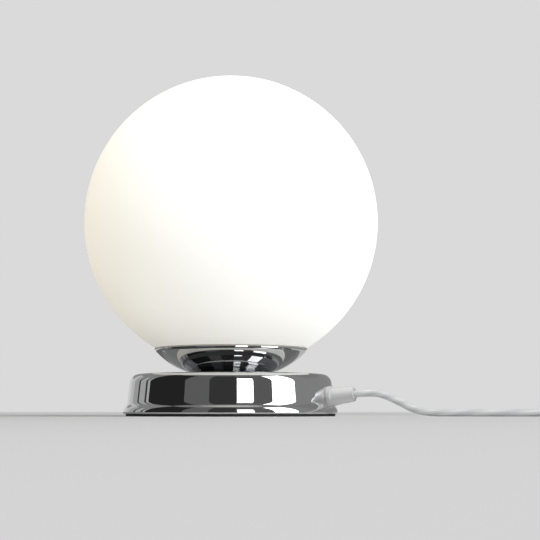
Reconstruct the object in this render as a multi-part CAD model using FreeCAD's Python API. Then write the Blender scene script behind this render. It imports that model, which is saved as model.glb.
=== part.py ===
import FreeCAD, Part
import math
import os

# Glass globe table lamp: an opal glass ball in a plated cup, on a plated drum base with a steel
# plate and pad, a mains lead with an in-line switch, and a flat two-pin plug.
# Millimetres. The origin is the centre of the pad's underside, +Z is up, and the lead leaves
# the base towards +X. Heights are from the surface that the lamp stands on.

# --- fits and clearances -------------------------------------------------------------------
thread_play = 0.03        # radial, between a nut or tapped hole and its thread
hole_play = 0.10          # radial, round a part that passes through a hole
pivot_play = 0.05         # radial, round the rocker's pins
soft_gap = 0.30           # between glass and the soft or springy parts that carry it
panel_gap = 0.40          # round a part that moves in an opening
overcut = 1.0             # how far a cut runs past the face that it opens
near = 0.01               # for finding edges by their place

# --- foot: pad, plate, drum cover ----------------------------------------------------------
pad_r = 70.4
pad_t = 1.5
cover_t = 0.8             # sheet
cover_top_z = 27.9
lip_r = 72.2              # outside of the lip
hem_r = 1.2               # roll at the lip's foot
lip_round_r = 5.4         # the lip's bulging outside, above the roll
lip_lean = 40.8           # degrees that the lip has leant in where the flare begins
flare_r = 4.6             # hollow between the lip and the wall
wall_draft = 6.2          # degrees that the wall leans inwards
shoulder_r = 6.4
plate_t = 3.5

# --- clamped stack on the lamp's axis ------------------------------------------------------
tube_r = 5.0              # M10 x 1 pipe thread
tube_bore_r = 3.6
tube_foot_z = 20.6
tube_len = 18.0
nut_af = 14.0
nut_h = 3.0
washer_t = 0.7
washer_r = 9.0
bracket_t = 1.5
bracket_w = 18.0
bracket_half = 24.0       # from the axis to the outside of each leg
bracket_foot = 14.0
bracket_bend = 1.6        # bend radius at mid-thickness
plate_screw_r = 2.0
plate_screw_len = 8.0
plate_screw_head_r = 3.8

# --- cup, gasket, globe, clip --------------------------------------------------------------
cup_t = 0.8
cup_foot_r = 25.0
cup_rim_r = 51.6
cup_rim_z = 44.8
cup_bulge = 2.3           # how far the bowl's side bows out from its chord
gasket_in_h = 0.15        # height of its thin inner edge
gasket_w = 1.3
globe_r = 100.0
glass_t = 2.5
globe_hole_r = 39.0
clip_t = 0.6
clip_arm_w = 8.0
clip_arms = 3
clip_hub_r = 11.0
clip_foot_in = 2.0        # from the edge of the cup's flat floor to where an arm turns up
clip_below = 2.0          # straight stretch of an arm under the glass's edge
clip_above = 1.0          # and over it
clip_bulge = 1.7          # how far an arm stands out over the glass's edge
clip_bulge_h = 4.5        # height of the bulge over that edge
clip_tip_in = 5.0         # how far the arm's tip leans in
clip_rise = 16.0          # from the glass's inner edge to the arm's tip
clip_bend = 2.5

# --- lampholder, E14 -----------------------------------------------------------------------
cap_neck_r = 7.4
cap_neck_h = 5.2
cap_wall = 1.6
cap_shoulder_h = 7.4
cap_bow = 2.0             # how far the cap's shoulder bows out from its chord
holder_r = 14.0
cap_top_z = 50.0
spigot_h = 5.0
shell_wall = 1.3
shell_top_z = 78.5
shell_edge = 1.0
insert_foot_z = 44.5
insert_floor_z = 54.5
insert_r = 11.2
tower_r = 9.2
tower_wall = 1.6
tower_top_z = 76.5
sleeve_wall = 0.4
sleeve_len = 16.5
sleeve_ledge = 1.0        # under the threaded sleeve
terminal_x = 5.2          # from the axis to the middle of each terminal block
terminal_size = (4.6, 6.0, 3.4)
terminal_screw_r = 1.3
terminal_screw_out = 0.6  # how far its head stands out of the block
contact_t = 0.5
contact_w = 4.0
contact_foot_x = 5.8      # far end of the part that lies on the insert
contact_rise_x = 2.6
contact_half = 1.2        # of the part that the bulb presses
contact_tail_x = 4.6
contact_tail_h = 0.9
contact_bend = 0.6

# --- lamp (bulb), E14 ----------------------------------------------------------------------
bulb_tip_z = 57.0
bulb_shell_r = 6.95
bulb_shell_len = 17.0
bulb_shell_t = 0.35
bulb_tip_r = 2.4
bulb_tip_h = 1.0
bulb_tip_bow = 0.35
bulb_tip_margin = 0.6     # insulator's edge round the tip, and the shell's edge round the insulator
insulator_h = 3.0
housing_r = 20.5
housing_h = 21.0
housing_wall = 1.6
housing_step = 1.2        # over the screw shell
housing_floor_h = 2.0     # from the screw shell's top to the inside's foot
housing_bow = 1.4         # how far the side bows out from its chord
diffuser_over = 2.0       # the diffuser's widest radius over the housing's
diffuser_t = 1.2
board_play = 1.3          # round the lighting board, where the housing narrows below it
board_t = 1.6
chip_count = 8
chip_size = 2.8
chip_h = 0.7
chip_ring_r = 12.0

# --- cord and strain relief ----------------------------------------------------------------
cord_r = 2.3
cord_inside_len = 41.0    # sheath from the strain relief's tip to its end inside the drum
wire_r = 0.9
wire_apart = 1.25         # from the cord's centre to each wire's centre
wire_straight = 14.0      # first run of each wire, in line with the sheath
wire_in_terminal = 0.6    # how far short of the terminal's middle a wire stops
wire_turn_in = 1.0        # how far inside the threaded tube's top the wires turn to their terminals
exit_turn = -20.0         # degrees from +X, seen from above
exit_z = 12.6
relief_flange_r = 7.15
relief_flange_t = 2.6
relief_root_r = 6.6
relief_tip_r = 4.75
relief_len = 17.6         # from the drum's wall to the tip
relief_thread_r = 5.0
relief_thread_len = 9.0
relief_round = 0.8
relief_sunk = 0.5         # how far the flange reaches back to follow the round wall
relief_nut_af = 13.0
relief_nut_h = 3.0

# --- in-line switch ------------------------------------------------------------------------
switch_x, switch_y = 306.0, -1.0
switch_len = 50.0
switch_w = 24.0
switch_h = 16.0
switch_split_z = 7.0      # also the height of the cord's axis
switch_wall = 1.8
switch_corner = 9.0
switch_edge = 3.0
switch_foot_edge = 1.0
nose_len = 6.0
nose_root_r = 5.4
nose_tip_r = 3.6
nose_sunk = 4.0           # length of the nose inside the block
switch_screw_r = 1.5
switch_screw_x, switch_screw_y = 17.5, 7.2
switch_boss_r = 3.2
switch_screw_head_r = 2.7
switch_screw_head_h = 1.6
switch_screw_inset = 0.2  # how far the head lies above the underside
switch_screw_short = 1.5  # from the screw's end to the inside of the cover
rocker_half = 9.0
rocker_w = 9.0
rocker_throw = 14.0       # degrees from off to on
rocker_pin_r = 1.2
rocker_pin_z = 11.2
rocker_pin_len = 1.7
rocker_top = 6.3          # end's height over the pins
rocker_dip = 1.4          # how far the middle lies lower than the ends
rocker_floor = 1.1        # underside's height over the pins
stem_drop = 2.1           # how far the stem reaches below the pins
ear_t = 1.9
ear_half = 3.2
ear_drop = 2.6            # from the pins down to the ears' foot
rocker_side_in = 0.4      # how far the ends lean in towards the underside
rocker_end_play = 1.1     # round the rocker's ends, which swing
stem_root_half = 3.4
stem_tip_half = 1.6
strip_t = 0.6             # contact strips
strip_w = 4.0
strip_end_x = 16.0
strip_bend_x = 7.0
strip_tip_x = 1.0
fixed_tip_x = 1.5
strip_bend = 1.2
stem_room = 0.8           # between the stem and the middle of the spring strip's tip

# --- plug, flat two-pin --------------------------------------------------------------------
plug_face_w = 35.3
plug_tail_w = 13.0
plug_len = 36.0
plug_th = 13.7
plug_edge = 2.6
plug_corner = 6.0
plug_tail_len = 18.0
plug_tail_root_r = 5.4
plug_tail_tip_r = 3.3
plug_shoulder = 16.0      # length of the full-width stretch behind the face
plug_neck = 5.0           # length of the narrow stretch behind the tail
pin_r = 2.0
pin_len = 19.0
pin_apart = 18.6
pin_root = 6.0            # length held in the moulding
pin_core_r = 1.5
pin_sleeve_r = 1.8
pin_sleeve_len = 10.0
pin_tip_len = 1.4
pin_tip_r = 0.8           # flat end of the rounded tip
pin_tip_bow = 0.3
tail_sunk = 1.0           # length of the tail inside the body

# --- where the lead goes on the surface ----------------------------------------------------
floor_gap = 0.1           # keeps the cord's underside just off the surface
arc_share = 0.45          # of the shorter run that an arc takes up at each corner of a route
lead_straight = 13.9      # first run, straight out of the strain relief
coil_x, coil_y = 268.0, 58.0
coil_outer_r = 35.4       # centreline
coil_half_turns = 6       # in each of the two layers
coil_pitch = 5.1          # between neighbouring turns, and between the layers
measure_step = 1.5        # between the points on which the coil's gap to itself is measured
plug_x, plug_y = 373.0, 14.0   # end of the plug's tail

V = FreeCAD.Vector
UP = V(0, 0, 1)


def outline(start, *legs):
    """Closed face in the XZ plane from (x, z) corners. A leg is a corner, or a pair: point on arc, corner."""
    edges = []
    here = start
    for leg in legs + (start,):
        via, there = leg if isinstance(leg[0], tuple) else (None, leg)
        a = V(here[0], 0, here[1])
        b = V(there[0], 0, there[1])
        if via:
            edges.append(Part.Arc(a, V(via[0], 0, via[1]), b).toShape())
        else:
            edges.append(Part.LineSegment(a, b).toShape())
        here = there
    return Part.Face(Part.Wire(edges))


def lathe(start, *legs):
    """Solid turned about the Z axis from an outline of (radius, height) corners."""
    return outline(start, *legs).revolve(V(0, 0, 0), UP, 360)


def ring(inner_r, outer_r, z0, z1):
    """Plain turned ring, or a disc where inner_r is 0."""
    return lathe((inner_r, z0), (outer_r, z0), (outer_r, z1), (inner_r, z1))


def rod(a, b, r):
    """Round bar from a to b."""
    return Part.makeCylinder(r, (b - a).Length, a, b - a)


def block(x0, x1, y0, y1, z0, z1):
    """Box between two corners."""
    return Part.makeBox(x1 - x0, y1 - y0, z1 - z0, V(x0, y0, z0))


def hex_nut(af, bore_r, z0, z1):
    """Hexagon nut on the Z axis, chamfered top and bottom."""
    corner_r = af / math.sqrt(3)
    corners = [V(corner_r, 0, z0)]
    for side in range(1, 7):
        corners.append(V(corner_r * math.cos(side * math.pi / 3), corner_r * math.sin(side * math.pi / 3), z0))
    body = Part.Face(Part.makePolygon(corners)).extrude(V(0, 0, z1 - z0))
    chamfer = (corner_r - af / 2) / 2
    turned = lathe(
        (0, z0), (af / 2, z0), (corner_r, z0 + chamfer), (corner_r, z1 - chamfer), (af / 2, z1), (0, z1))
    return body.common(turned).cut(ring(0, bore_r, z0 - overcut, z1 + overcut))


def rounded_path(corners, radii):
    """Wire of straight runs through the corners, with a tangent arc of its own radius at each inner one."""
    edges = []
    here = corners[0]
    for before, corner, after, radius in zip(corners, corners[1:], corners[2:], radii):
        back = (before - corner).normalize()
        on = (after - corner).normalize()
        half_turn = (math.pi - back.getAngle(on)) / 2
        reach = radius * math.tan(half_turn)
        bisector = (back + on).normalize()
        arc_in = corner + back * reach
        arc_mid = corner + bisector * (radius / math.cos(half_turn) - radius)
        arc_out = corner + on * reach
        edges.append(Part.LineSegment(here, arc_in).toShape())
        edges.append(Part.Arc(arc_in, arc_mid, arc_out).toShape())
        here = arc_out
    edges.append(Part.LineSegment(here, corners[-1]).toShape())
    return Part.Wire(edges)


def tube_along(path, r):
    """Round tube swept along a wire."""
    first = path.OrderedEdges[0]
    start = first.valueAt(first.FirstParameter)
    section = Part.Wire(Part.Circle(start, first.tangentAt(first.FirstParameter), r).toShape())
    return Part.Solid(path.makePipeShell([section], True, False))


def cord_tube(name, points, r):
    """Cord with arcs as large as its runs allow. Prints their radii, and its volume against its length's."""
    radii = []
    for before, corner, after in zip(points, points[1:], points[2:]):
        shorter = min((corner - before).Length, (after - corner).Length)
        half_turn = (math.pi - (before - corner).getAngle(after - corner)) / 2
        radii.append(arc_share * shorter / math.tan(half_turn))
    path = rounded_path(points, radii)
    tube = tube_along(path, r)
    share = tube.Volume / (math.pi * r * r * path.Length)
    shown = ", ".join(f"{radius:.0f}" for radius in radii)
    print(f"{name}: length {path.Length:.1f}, arc radii {shown}, volume share {share:.4f}")
    return tube


def bent_strip(points, thickness, width, bend_r):
    """Strip bent along (x, z) points, of even thickness, as wide as width along Y."""
    sides = {1: [], -1: []}
    for i, (x, z) in enumerate(points):
        here = V(x, 0, z)
        ways = []
        if i > 0:
            ways.append((here - V(points[i - 1][0], 0, points[i - 1][1])).normalize())
        if i < len(points) - 1:
            ways.append((V(points[i + 1][0], 0, points[i + 1][1]) - here).normalize())
        normals = [V(-way.z, 0, way.x) for way in ways]
        across = sum(normals[1:], normals[0])
        across = across.normalize()
        across = across * (thickness / 2 / across.dot(normals[0]))
        for side, edge in sides.items():
            edge.append(here + across * side)
    runs = []
    for side, edge in sides.items():
        radii = []
        for before, corner, after in zip(edge, edge[1:], edge[2:]):
            bends_to = (corner - before).cross(after - corner).y
            outer = (bends_to > 0) == (side > 0)
            radii.append(bend_r + (thickness / 2 if outer else -thickness / 2))
        runs.append(rounded_path(edge, radii) if radii else Part.Wire(Part.makeLine(edge[0], edge[-1])))
    ends = [Part.makeLine(sides[1][0], sides[-1][0]), Part.makeLine(sides[1][-1], sides[-1][-1])]
    face = Part.Face(Part.Wire(Part.__sortEdges__(runs[0].Edges + runs[1].Edges + ends)))
    strip = face.extrude(V(0, width, 0))
    strip.translate(V(0, -width / 2, 0))
    return strip


def turned_to(shape, degrees):
    """Copy of a shape, turned about the lamp's axis."""
    copy = shape.copy()
    copy.rotate(V(0, 0, 0), UP, degrees)
    return copy


def moved(shape, x, y, z=0.0):
    """Copy of a shape, moved."""
    copy = shape.copy()
    copy.translate(V(x, y, z))
    return copy


def mirrored_y(shape):
    return shape.mirror(V(0, 0, 0), V(0, 1, 0))


def mirrored_x(shape):
    return shape.mirror(V(0, 0, 0), V(1, 0, 0))


def on_sphere(r, sphere_r, centre_z):
    """Height of the lower half of a sphere on the lamp's axis, at radius r."""
    return centre_z - math.sqrt(sphere_r ** 2 - r ** 2)


def bowed(a, b, bow):
    """Leg from a to b along an arc that bows to the right of its way, by bow over the chord."""
    run = math.hypot(b[0] - a[0], b[1] - a[1])
    mid_x = (a[0] + b[0]) / 2 + (b[1] - a[1]) / run * bow
    mid_z = (a[1] + b[1]) / 2 + (a[0] - b[0]) / run * bow
    return ((mid_x, mid_z), b)


def rounded_corner(a, b):
    """Leg from a to b along a quarter circle that bows outwards."""
    return bowed(a, b, abs(b[0] - a[0]) * (1 - math.cos(math.pi / 4)))


parts = {}

# --- drum cover ----------------------------------------------------------------------------
draft = math.tan(math.radians(wall_draft))
wall_head_z = cover_top_z - shoulder_r
lip_z = pad_t + hem_r
flare_starts_r = lip_r - lip_round_r + lip_round_r * math.cos(math.radians(lip_lean))
flare_starts_z = lip_z + lip_round_r * math.sin(math.radians(lip_lean))
flare_centre_r = flare_starts_r + flare_r * math.cos(math.radians(lip_lean))
flare_centre_z = flare_starts_z + flare_r * math.sin(math.radians(lip_lean))
wall_foot_r = flare_centre_r - flare_r * math.cos(math.radians(wall_draft))
wall_foot_z = flare_centre_z - flare_r * math.sin(math.radians(wall_draft))


def wall_r(z):
    """Outer radius of the drafted wall."""
    return wall_foot_r - (z - wall_foot_z) * draft


def on_arc(centre_r, centre_z, radius, degrees):
    """Point of an arc in the outline's plane."""
    turn = math.radians(degrees)
    return (centre_r + radius * math.cos(turn), centre_z + radius * math.sin(turn))


def cover_form(inset):
    """The drum's solid form: the outside, or the space inside the sheet when inset by its thickness."""
    lip = (lip_r - lip_round_r, lip_z, lip_round_r - inset)
    flare = (flare_centre_r, flare_centre_z, flare_r + inset)
    shoulder = (wall_r(wall_head_z) - shoulder_r, wall_head_z, shoulder_r - inset)
    side = (
        (on_arc(*lip, lip_lean / 2), on_arc(*lip, lip_lean)),
        (on_arc(*flare, 180 + (lip_lean + wall_draft) / 2), on_arc(*flare, 180 + wall_draft)),
        on_arc(*shoulder, 0), (on_arc(*shoulder, 45), on_arc(*shoulder, 90)), (0, cover_top_z - inset))
    if inset:
        hem_in_r = lip_r - 2 * hem_r
        return lathe((0, 0), (hem_in_r, 0), (hem_in_r, lip_z), on_arc(*lip, 0), *side)
    hem = (lip_r - hem_r, lip_z, hem_r)
    return lathe((0, pad_t), on_arc(*hem, -90), (on_arc(*hem, -45), on_arc(*hem, 0)), *side)


exit_way = V(math.cos(math.radians(wall_draft)), 0, math.sin(math.radians(wall_draft)))
exit_at = V(wall_r(exit_z), 0, exit_z)
exit_turning = FreeCAD.Rotation(UP, exit_turn)


def along_exit(distance):
    """Point on the strain relief's axis, before it is turned to its side of the drum."""
    return exit_at + exit_way * distance


def exit_lathe(start, *legs):
    """Turned solid on the strain relief's axis; heights count outwards from the drum's wall."""
    solid = lathe(start, *legs)
    solid.Placement = FreeCAD.Placement(exit_at, FreeCAD.Rotation(UP, exit_way))
    return solid


cover = cover_form(0).cut(cover_form(cover_t))
cover = cover.cut(ring(0, tube_r + hole_play, 0, cover_top_z + overcut))
exit_hole = rod(along_exit(-relief_thread_len), along_exit(relief_flange_t), relief_thread_r + hole_play)
cover = cover.cut(turned_to(exit_hole, exit_turn))
parts["base_cover"] = cover

# --- pad, plate, bracket, screws -----------------------------------------------------------
plate_z = pad_t
plate_top_z = plate_z + plate_t
plate_r = wall_foot_r - cover_t - panel_gap
bracket_hole_y = bracket_half + bracket_foot / 2
parts["base_pad"] = ring(0, pad_r, 0, pad_t)


def countersunk(play):
    """Flat-headed screw, head down, on the Z axis; with play it is the hole for one."""
    shank = plate_screw_r + play
    head = plate_screw_head_r + play
    end_z = plate_z + plate_screw_len
    return lathe((0, plate_z), (head, plate_z), (shank, plate_z + head - shank), (shank, end_z), (0, end_z))


plate = ring(0, plate_r, plate_z, plate_top_z)
screws = []
for side in (1, -1):
    plate = plate.cut(moved(countersunk(hole_play), 0, side * bracket_hole_y))
    screws.append(moved(countersunk(0), 0, side * bracket_hole_y))
parts["base_plate"] = plate
parts["plate_screws"] = Part.makeCompound(screws)

under_top_z = cover_top_z - cover_t
bracket_low = plate_top_z + bracket_t / 2
bracket_high = under_top_z - bracket_t / 2
leg = bracket_half - bracket_t / 2
toe = bracket_half + bracket_foot
bracket_points = [
    (-toe, bracket_low), (-leg, bracket_low), (-leg, bracket_high),
    (leg, bracket_high), (leg, bracket_low), (toe, bracket_low)]
bracket = turned_to(bent_strip(bracket_points, bracket_t, bracket_w, bracket_bend), 90)
bracket = bracket.cut(ring(0, tube_r + hole_play, 0, cover_top_z))
tapped_hole = ring(0, plate_screw_r + thread_play, 0, plate_top_z + bracket_t + overcut)
for side in (1, -1):
    bracket = bracket.cut(moved(tapped_hole, 0, side * bracket_hole_y))
parts["plate_bracket"] = bracket

# --- threaded tube with its nuts and washers -----------------------------------------------
base_washer_z = under_top_z - bracket_t - washer_t
cup_floor_z = cover_top_z + cup_t
clip_top_z = cup_floor_z + clip_t
cup_nut_z = clip_top_z + washer_t
holder_foot_z = cup_nut_z + nut_h
parts["threaded_tube"] = ring(tube_bore_r, tube_r, tube_foot_z, tube_foot_z + tube_len)
parts["base_washer"] = ring(tube_r + hole_play, washer_r, base_washer_z, base_washer_z + washer_t)
parts["base_nut"] = hex_nut(nut_af, tube_r + thread_play, base_washer_z - nut_h, base_washer_z)
parts["cup_washer"] = ring(tube_r + hole_play, washer_r, clip_top_z, cup_nut_z)
parts["cup_nut"] = hex_nut(nut_af, tube_r + thread_play, cup_nut_z, holder_foot_z)

# --- cup -----------------------------------------------------------------------------------
chord_r = cup_rim_r - cup_foot_r
chord_z = cup_rim_z - cover_top_z
chord = math.hypot(chord_r, chord_z)
bowl_r = chord ** 2 / (8 * cup_bulge) + cup_bulge / 2
bowl_mid_r = (cup_foot_r + cup_rim_r) / 2
bowl_mid_z = (cover_top_z + cup_rim_z) / 2
bowl_centre_r = bowl_mid_r - chord_z / chord * (bowl_r - cup_bulge)
bowl_centre_z = bowl_mid_z + chord_r / chord * (bowl_r - cup_bulge)


def bowl_side(z, inset):
    """Point of the bowl's side at a height, on its outer face or inset from it."""
    reach = bowl_r - inset
    return (bowl_centre_r + math.sqrt(reach ** 2 - (bowl_centre_z - z) ** 2), z)


cup = lathe(
    (tube_r + hole_play, cover_top_z), bowl_side(cover_top_z, 0),
    (bowl_side(bowl_mid_z, 0), bowl_side(cup_rim_z, 0)),
    bowl_side(cup_rim_z, cup_t),
    (bowl_side(bowl_mid_z, cup_t), bowl_side(cup_floor_z, cup_t)),
    (tube_r + hole_play, cup_floor_z))
parts["globe_cup"] = cup

# --- gasket and globe ----------------------------------------------------------------------
seat_r = globe_r + soft_gap
gasket_in_r = cup_rim_r - gasket_w
globe_z = cup_rim_z + gasket_in_h + math.sqrt(seat_r ** 2 - gasket_in_r ** 2)
gasket_mid_r = cup_rim_r - gasket_w / 2


def on_seat(r):
    """Point of the gasket's face under the glass."""
    return (r, on_sphere(r, seat_r, globe_z))


parts["rim_gasket"] = lathe(
    (gasket_in_r, cup_rim_z), (cup_rim_r, cup_rim_z), on_seat(cup_rim_r),
    (on_seat(gasket_mid_r), on_seat(gasket_in_r)))
glass_in_r = globe_r - glass_t
hole_out_z = on_sphere(globe_hole_r, globe_r, globe_z)
hole_in_z = on_sphere(globe_hole_r, glass_in_r, globe_z)
parts["glass_globe"] = lathe(
    (globe_hole_r, hole_out_z), ((globe_r, globe_z), (0, globe_z + globe_r)),
    (0, globe_z + glass_in_r), ((glass_in_r, globe_z), (globe_hole_r, hole_in_z)))

# --- spring clip ---------------------------------------------------------------------------
arm_in_hole_r = math.sqrt((globe_hole_r - soft_gap) ** 2 - clip_arm_w ** 2 / 4) - clip_t / 2
clip_mid_z = cup_floor_z + clip_t / 2
arm_points = [
    (clip_hub_r - clip_arm_w / 2, clip_mid_z), (cup_foot_r - clip_foot_in, clip_mid_z),
    (arm_in_hole_r, hole_out_z - clip_below), (arm_in_hole_r, hole_in_z + clip_above),
    (arm_in_hole_r + clip_bulge, hole_in_z + clip_bulge_h),
    (arm_in_hole_r - clip_tip_in, hole_in_z + clip_rise)]
arm = bent_strip(arm_points, clip_t, clip_arm_w, clip_bend)
clip = ring(0, clip_hub_r, cup_floor_z, clip_top_z)
for step in range(clip_arms):
    clip = clip.fuse(turned_to(arm, 90 + step * 360 / clip_arms))
clip = clip.cut(ring(0, tube_r + hole_play, 0, globe_z)).removeSplitter()
parts["globe_clip"] = clip

# --- lampholder ----------------------------------------------------------------------------
cap_neck_z = holder_foot_z + cap_neck_h
spigot_r = holder_r - shell_wall
spigot_in_r = insert_r + hole_play
ledge_r = insert_r - cap_wall
cap_foot = (cap_neck_r, cap_neck_z)
cap_side = (holder_r, cap_neck_z + cap_shoulder_h)
cap_floor_z = cap_neck_z + cap_wall
spigot_out_r = spigot_r - thread_play
spigot_top_z = cap_top_z + spigot_h
parts["holder_cap"] = lathe(
    (tube_r + thread_play, holder_foot_z), (cap_neck_r, holder_foot_z), cap_foot,
    bowed(cap_foot, cap_side, cap_bow), (holder_r, cap_top_z), (spigot_out_r, cap_top_z),
    (spigot_out_r, spigot_top_z), (spigot_in_r, spigot_top_z), (spigot_in_r, insert_foot_z),
    (ledge_r, insert_foot_z), (ledge_r, cap_floor_z), (tube_r + thread_play, cap_floor_z))
mouth_r = tower_r + panel_gap
parts["holder_shell"] = lathe(
    (spigot_r, cap_top_z), (holder_r, cap_top_z), (holder_r, shell_top_z - shell_edge),
    (holder_r - shell_edge, shell_top_z), (mouth_r, shell_top_z), (mouth_r, shell_top_z - shell_wall),
    (spigot_r, shell_top_z - shell_wall))
sleeve_r = tower_r - tower_wall
sleeve_foot_z = tower_top_z - sleeve_len
sleeve_in_r = sleeve_r - sleeve_ledge
parts["holder_insert"] = lathe(
    (0, insert_foot_z), (insert_r, insert_foot_z), (insert_r, insert_floor_z), (tower_r, insert_floor_z),
    (tower_r, tower_top_z), (sleeve_r, tower_top_z), (sleeve_r, sleeve_foot_z), (sleeve_in_r, sleeve_foot_z),
    (sleeve_in_r, insert_floor_z), (0, insert_floor_z))
parts["holder_sleeve"] = ring(sleeve_r - sleeve_wall, sleeve_r, sleeve_foot_z, tower_top_z)

contact_z = insert_floor_z + contact_t / 2
contact_top_z = bulb_tip_z - contact_t
contact_points = [
    (-contact_foot_x, contact_z), (-contact_rise_x, contact_z), (-contact_half, contact_top_z),
    (contact_half, contact_top_z), (contact_tail_x, contact_z + contact_tail_h)]
contact = bent_strip(contact_points, contact_t, contact_w, contact_bend)
parts["centre_contact"] = turned_to(contact, exit_turn + 90)

terminals = []
terminal_room = []
terminal_screws = []
tx, ty, tz = terminal_size
screw_z = insert_foot_z - tz / 2
for side in (1, -1):
    middle = side * terminal_x
    body = block(middle - tx / 2, middle + tx / 2, -ty / 2, ty / 2, insert_foot_z - tz, insert_foot_z)
    bore = rod(V(middle, -ty / 2 - overcut, screw_z), V(middle, 0, screw_z), terminal_screw_r + thread_play)
    terminals.append(turned_to(body.cut(bore), exit_turn + 90))
    terminal_room.append(turned_to(body, exit_turn + 90))
    shank = rod(V(middle, -ty / 2 - terminal_screw_out, screw_z), V(middle, 0, screw_z), terminal_screw_r)
    terminal_screws.append(turned_to(shank, exit_turn + 90))
parts["holder_terminals"] = Part.makeCompound(terminals)
parts["terminal_screws"] = Part.makeCompound(terminal_screws)

# --- lamp (bulb) ---------------------------------------------------------------------------
shell_foot_z = bulb_tip_z + bulb_tip_h + insulator_h
shell_head_z = shell_foot_z + bulb_shell_len
housing_top_z = shell_head_z + housing_h
bulb_tip_top_z = bulb_tip_z + bulb_tip_h
parts["bulb_tip"] = lathe(
    (0, bulb_tip_z), bowed((0, bulb_tip_z), (bulb_tip_r, bulb_tip_top_z), bulb_tip_bow), (0, bulb_tip_top_z))
parts["bulb_insulator"] = lathe(
    (0, bulb_tip_top_z), (bulb_tip_r + bulb_tip_margin, bulb_tip_top_z),
    (bulb_shell_r - bulb_tip_margin, shell_foot_z), (0, shell_foot_z))
parts["bulb_screw_shell"] = ring(bulb_shell_r - bulb_shell_t, bulb_shell_r, shell_foot_z, shell_head_z)
plug_in_r = bulb_shell_r - bulb_shell_t - thread_play
side_foot = (bulb_shell_r + housing_step, shell_head_z)
inside_foot = (plug_in_r - housing_wall, shell_head_z + housing_floor_h)
inside_head = (housing_r - housing_wall, housing_top_z)
side_head = (housing_r, housing_top_z)
parts["bulb_housing"] = lathe(
    (plug_in_r - housing_wall, shell_foot_z), (plug_in_r, shell_foot_z), (plug_in_r, shell_head_z),
    side_foot, bowed(side_foot, side_head, housing_bow),
    inside_head, bowed(inside_head, inside_foot, -housing_bow))
diffuser_r = housing_r + diffuser_over
diffuser_z = housing_top_z + math.sqrt(diffuser_r ** 2 - housing_r ** 2)
diffuser_in_r = diffuser_r - diffuser_t
diffuser_mouth_r = math.sqrt(diffuser_in_r ** 2 - (diffuser_z - housing_top_z) ** 2)
parts["bulb_diffuser"] = lathe(
    (housing_r, housing_top_z), ((diffuser_r, diffuser_z), (0, diffuser_z + diffuser_r)),
    (0, diffuser_z + diffuser_in_r), ((diffuser_in_r, diffuser_z), (diffuser_mouth_r, housing_top_z)))
board_z = housing_top_z - board_t
board = ring(0, housing_r - housing_wall - board_play, board_z, housing_top_z)
for step in range(chip_count):
    chip = block(chip_ring_r - chip_size / 2, chip_ring_r + chip_size / 2, -chip_size / 2, chip_size / 2,
                 housing_top_z - board_t / 2, housing_top_z + chip_h)
    board = board.fuse(turned_to(chip, step * 360 / chip_count))
parts["led_board"] = board

# --- strain relief, its nut, the cord inside -----------------------------------------------
bore_r = cord_r + thread_play
flange_edge = relief_flange_r - relief_round
tip_side = (relief_tip_r, relief_len - relief_round)
tip_face = (relief_tip_r - relief_round, relief_len)
relief = exit_lathe(
    (bore_r, -relief_thread_len), (relief_thread_r, -relief_thread_len), (relief_thread_r, -relief_sunk),
    (relief_flange_r, -relief_sunk), (relief_flange_r, relief_flange_t - relief_round),
    (flange_edge, relief_flange_t), (relief_root_r, relief_flange_t),
    tip_side, rounded_corner(tip_side, tip_face), (bore_r, relief_len))
behind_r = relief_flange_r + overcut
behind = exit_lathe(
    (relief_thread_r, -relief_flange_t), (behind_r, -relief_flange_t), (behind_r, relief_flange_t / 2),
    (relief_thread_r, relief_flange_t / 2))
relief = relief.cut(behind.common(cover_form(0)))
parts["strain_relief"] = turned_to(relief, exit_turn)
nut_corner_r = relief_nut_af / math.sqrt(3)
wall_hollow = nut_corner_r ** 2 / (2 * wall_r(exit_z))   # how far the round wall comes in at the nut's corners
nut_seat = cover_t + wall_hollow + hole_play
relief_nut = hex_nut(relief_nut_af, relief_thread_r + thread_play, -nut_seat - relief_nut_h, -nut_seat)
flat_down = FreeCAD.Rotation(UP, 30)
relief_nut.Placement = FreeCAD.Placement(exit_at, FreeCAD.Rotation(UP, exit_way).multiply(flat_down))
parts["strain_relief_nut"] = turned_to(relief_nut, exit_turn)
cord_tip = along_exit(relief_len)
sheath_end = along_exit(relief_len - cord_inside_len)
parts["cord_inner_end"] = turned_to(rod(sheath_end, cord_tip, cord_r), exit_turn)

# --- wires from the sheath's end, up the tube, to the terminals ----------------------------
wire_run = [(18.0, 10.2), (5.5, 14.0), (0.0, 21.0)]   # then straight up the threaded tube
tube_top_z = tube_foot_z + tube_len
for name, side in (("wire_live", 1), ("wire_neutral", -1)):
    sideways = V(0, side * wire_apart, 0)
    route = [sheath_end + sideways, sheath_end - exit_way * wire_straight + sideways]
    route += [V(x, 0, z) + sideways for x, z in wire_run]
    route.append(V(0, side * wire_apart, tube_top_z - wire_turn_in))
    route.append(V(0, side * (terminal_x - wire_in_terminal), screw_z))
    wire = cord_tube(name, route, wire_r)
    wire = turned_to(wire, exit_turn)
    parts[name] = wire.cut(terminal_room)

# --- in-line switch ------------------------------------------------------------------------
half_l = switch_len / 2
half_w = switch_w / 2
rocker_opening = rocker_half + rocker_end_play
slot_half_w = rocker_w / 2 + soft_gap
cavity_corner = switch_corner - switch_wall


def rounded_block(half_x, half_y, corner, z0, z1):
    """Upright block with rounded vertical edges."""
    body = block(-half_x, half_x, -half_y, half_y, z0, z1)
    upright = [edge for edge in body.Edges if abs(edge.tangentAt(edge.FirstParameter).z) > 1 - near]
    return body.makeFillet(corner, upright)


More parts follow.
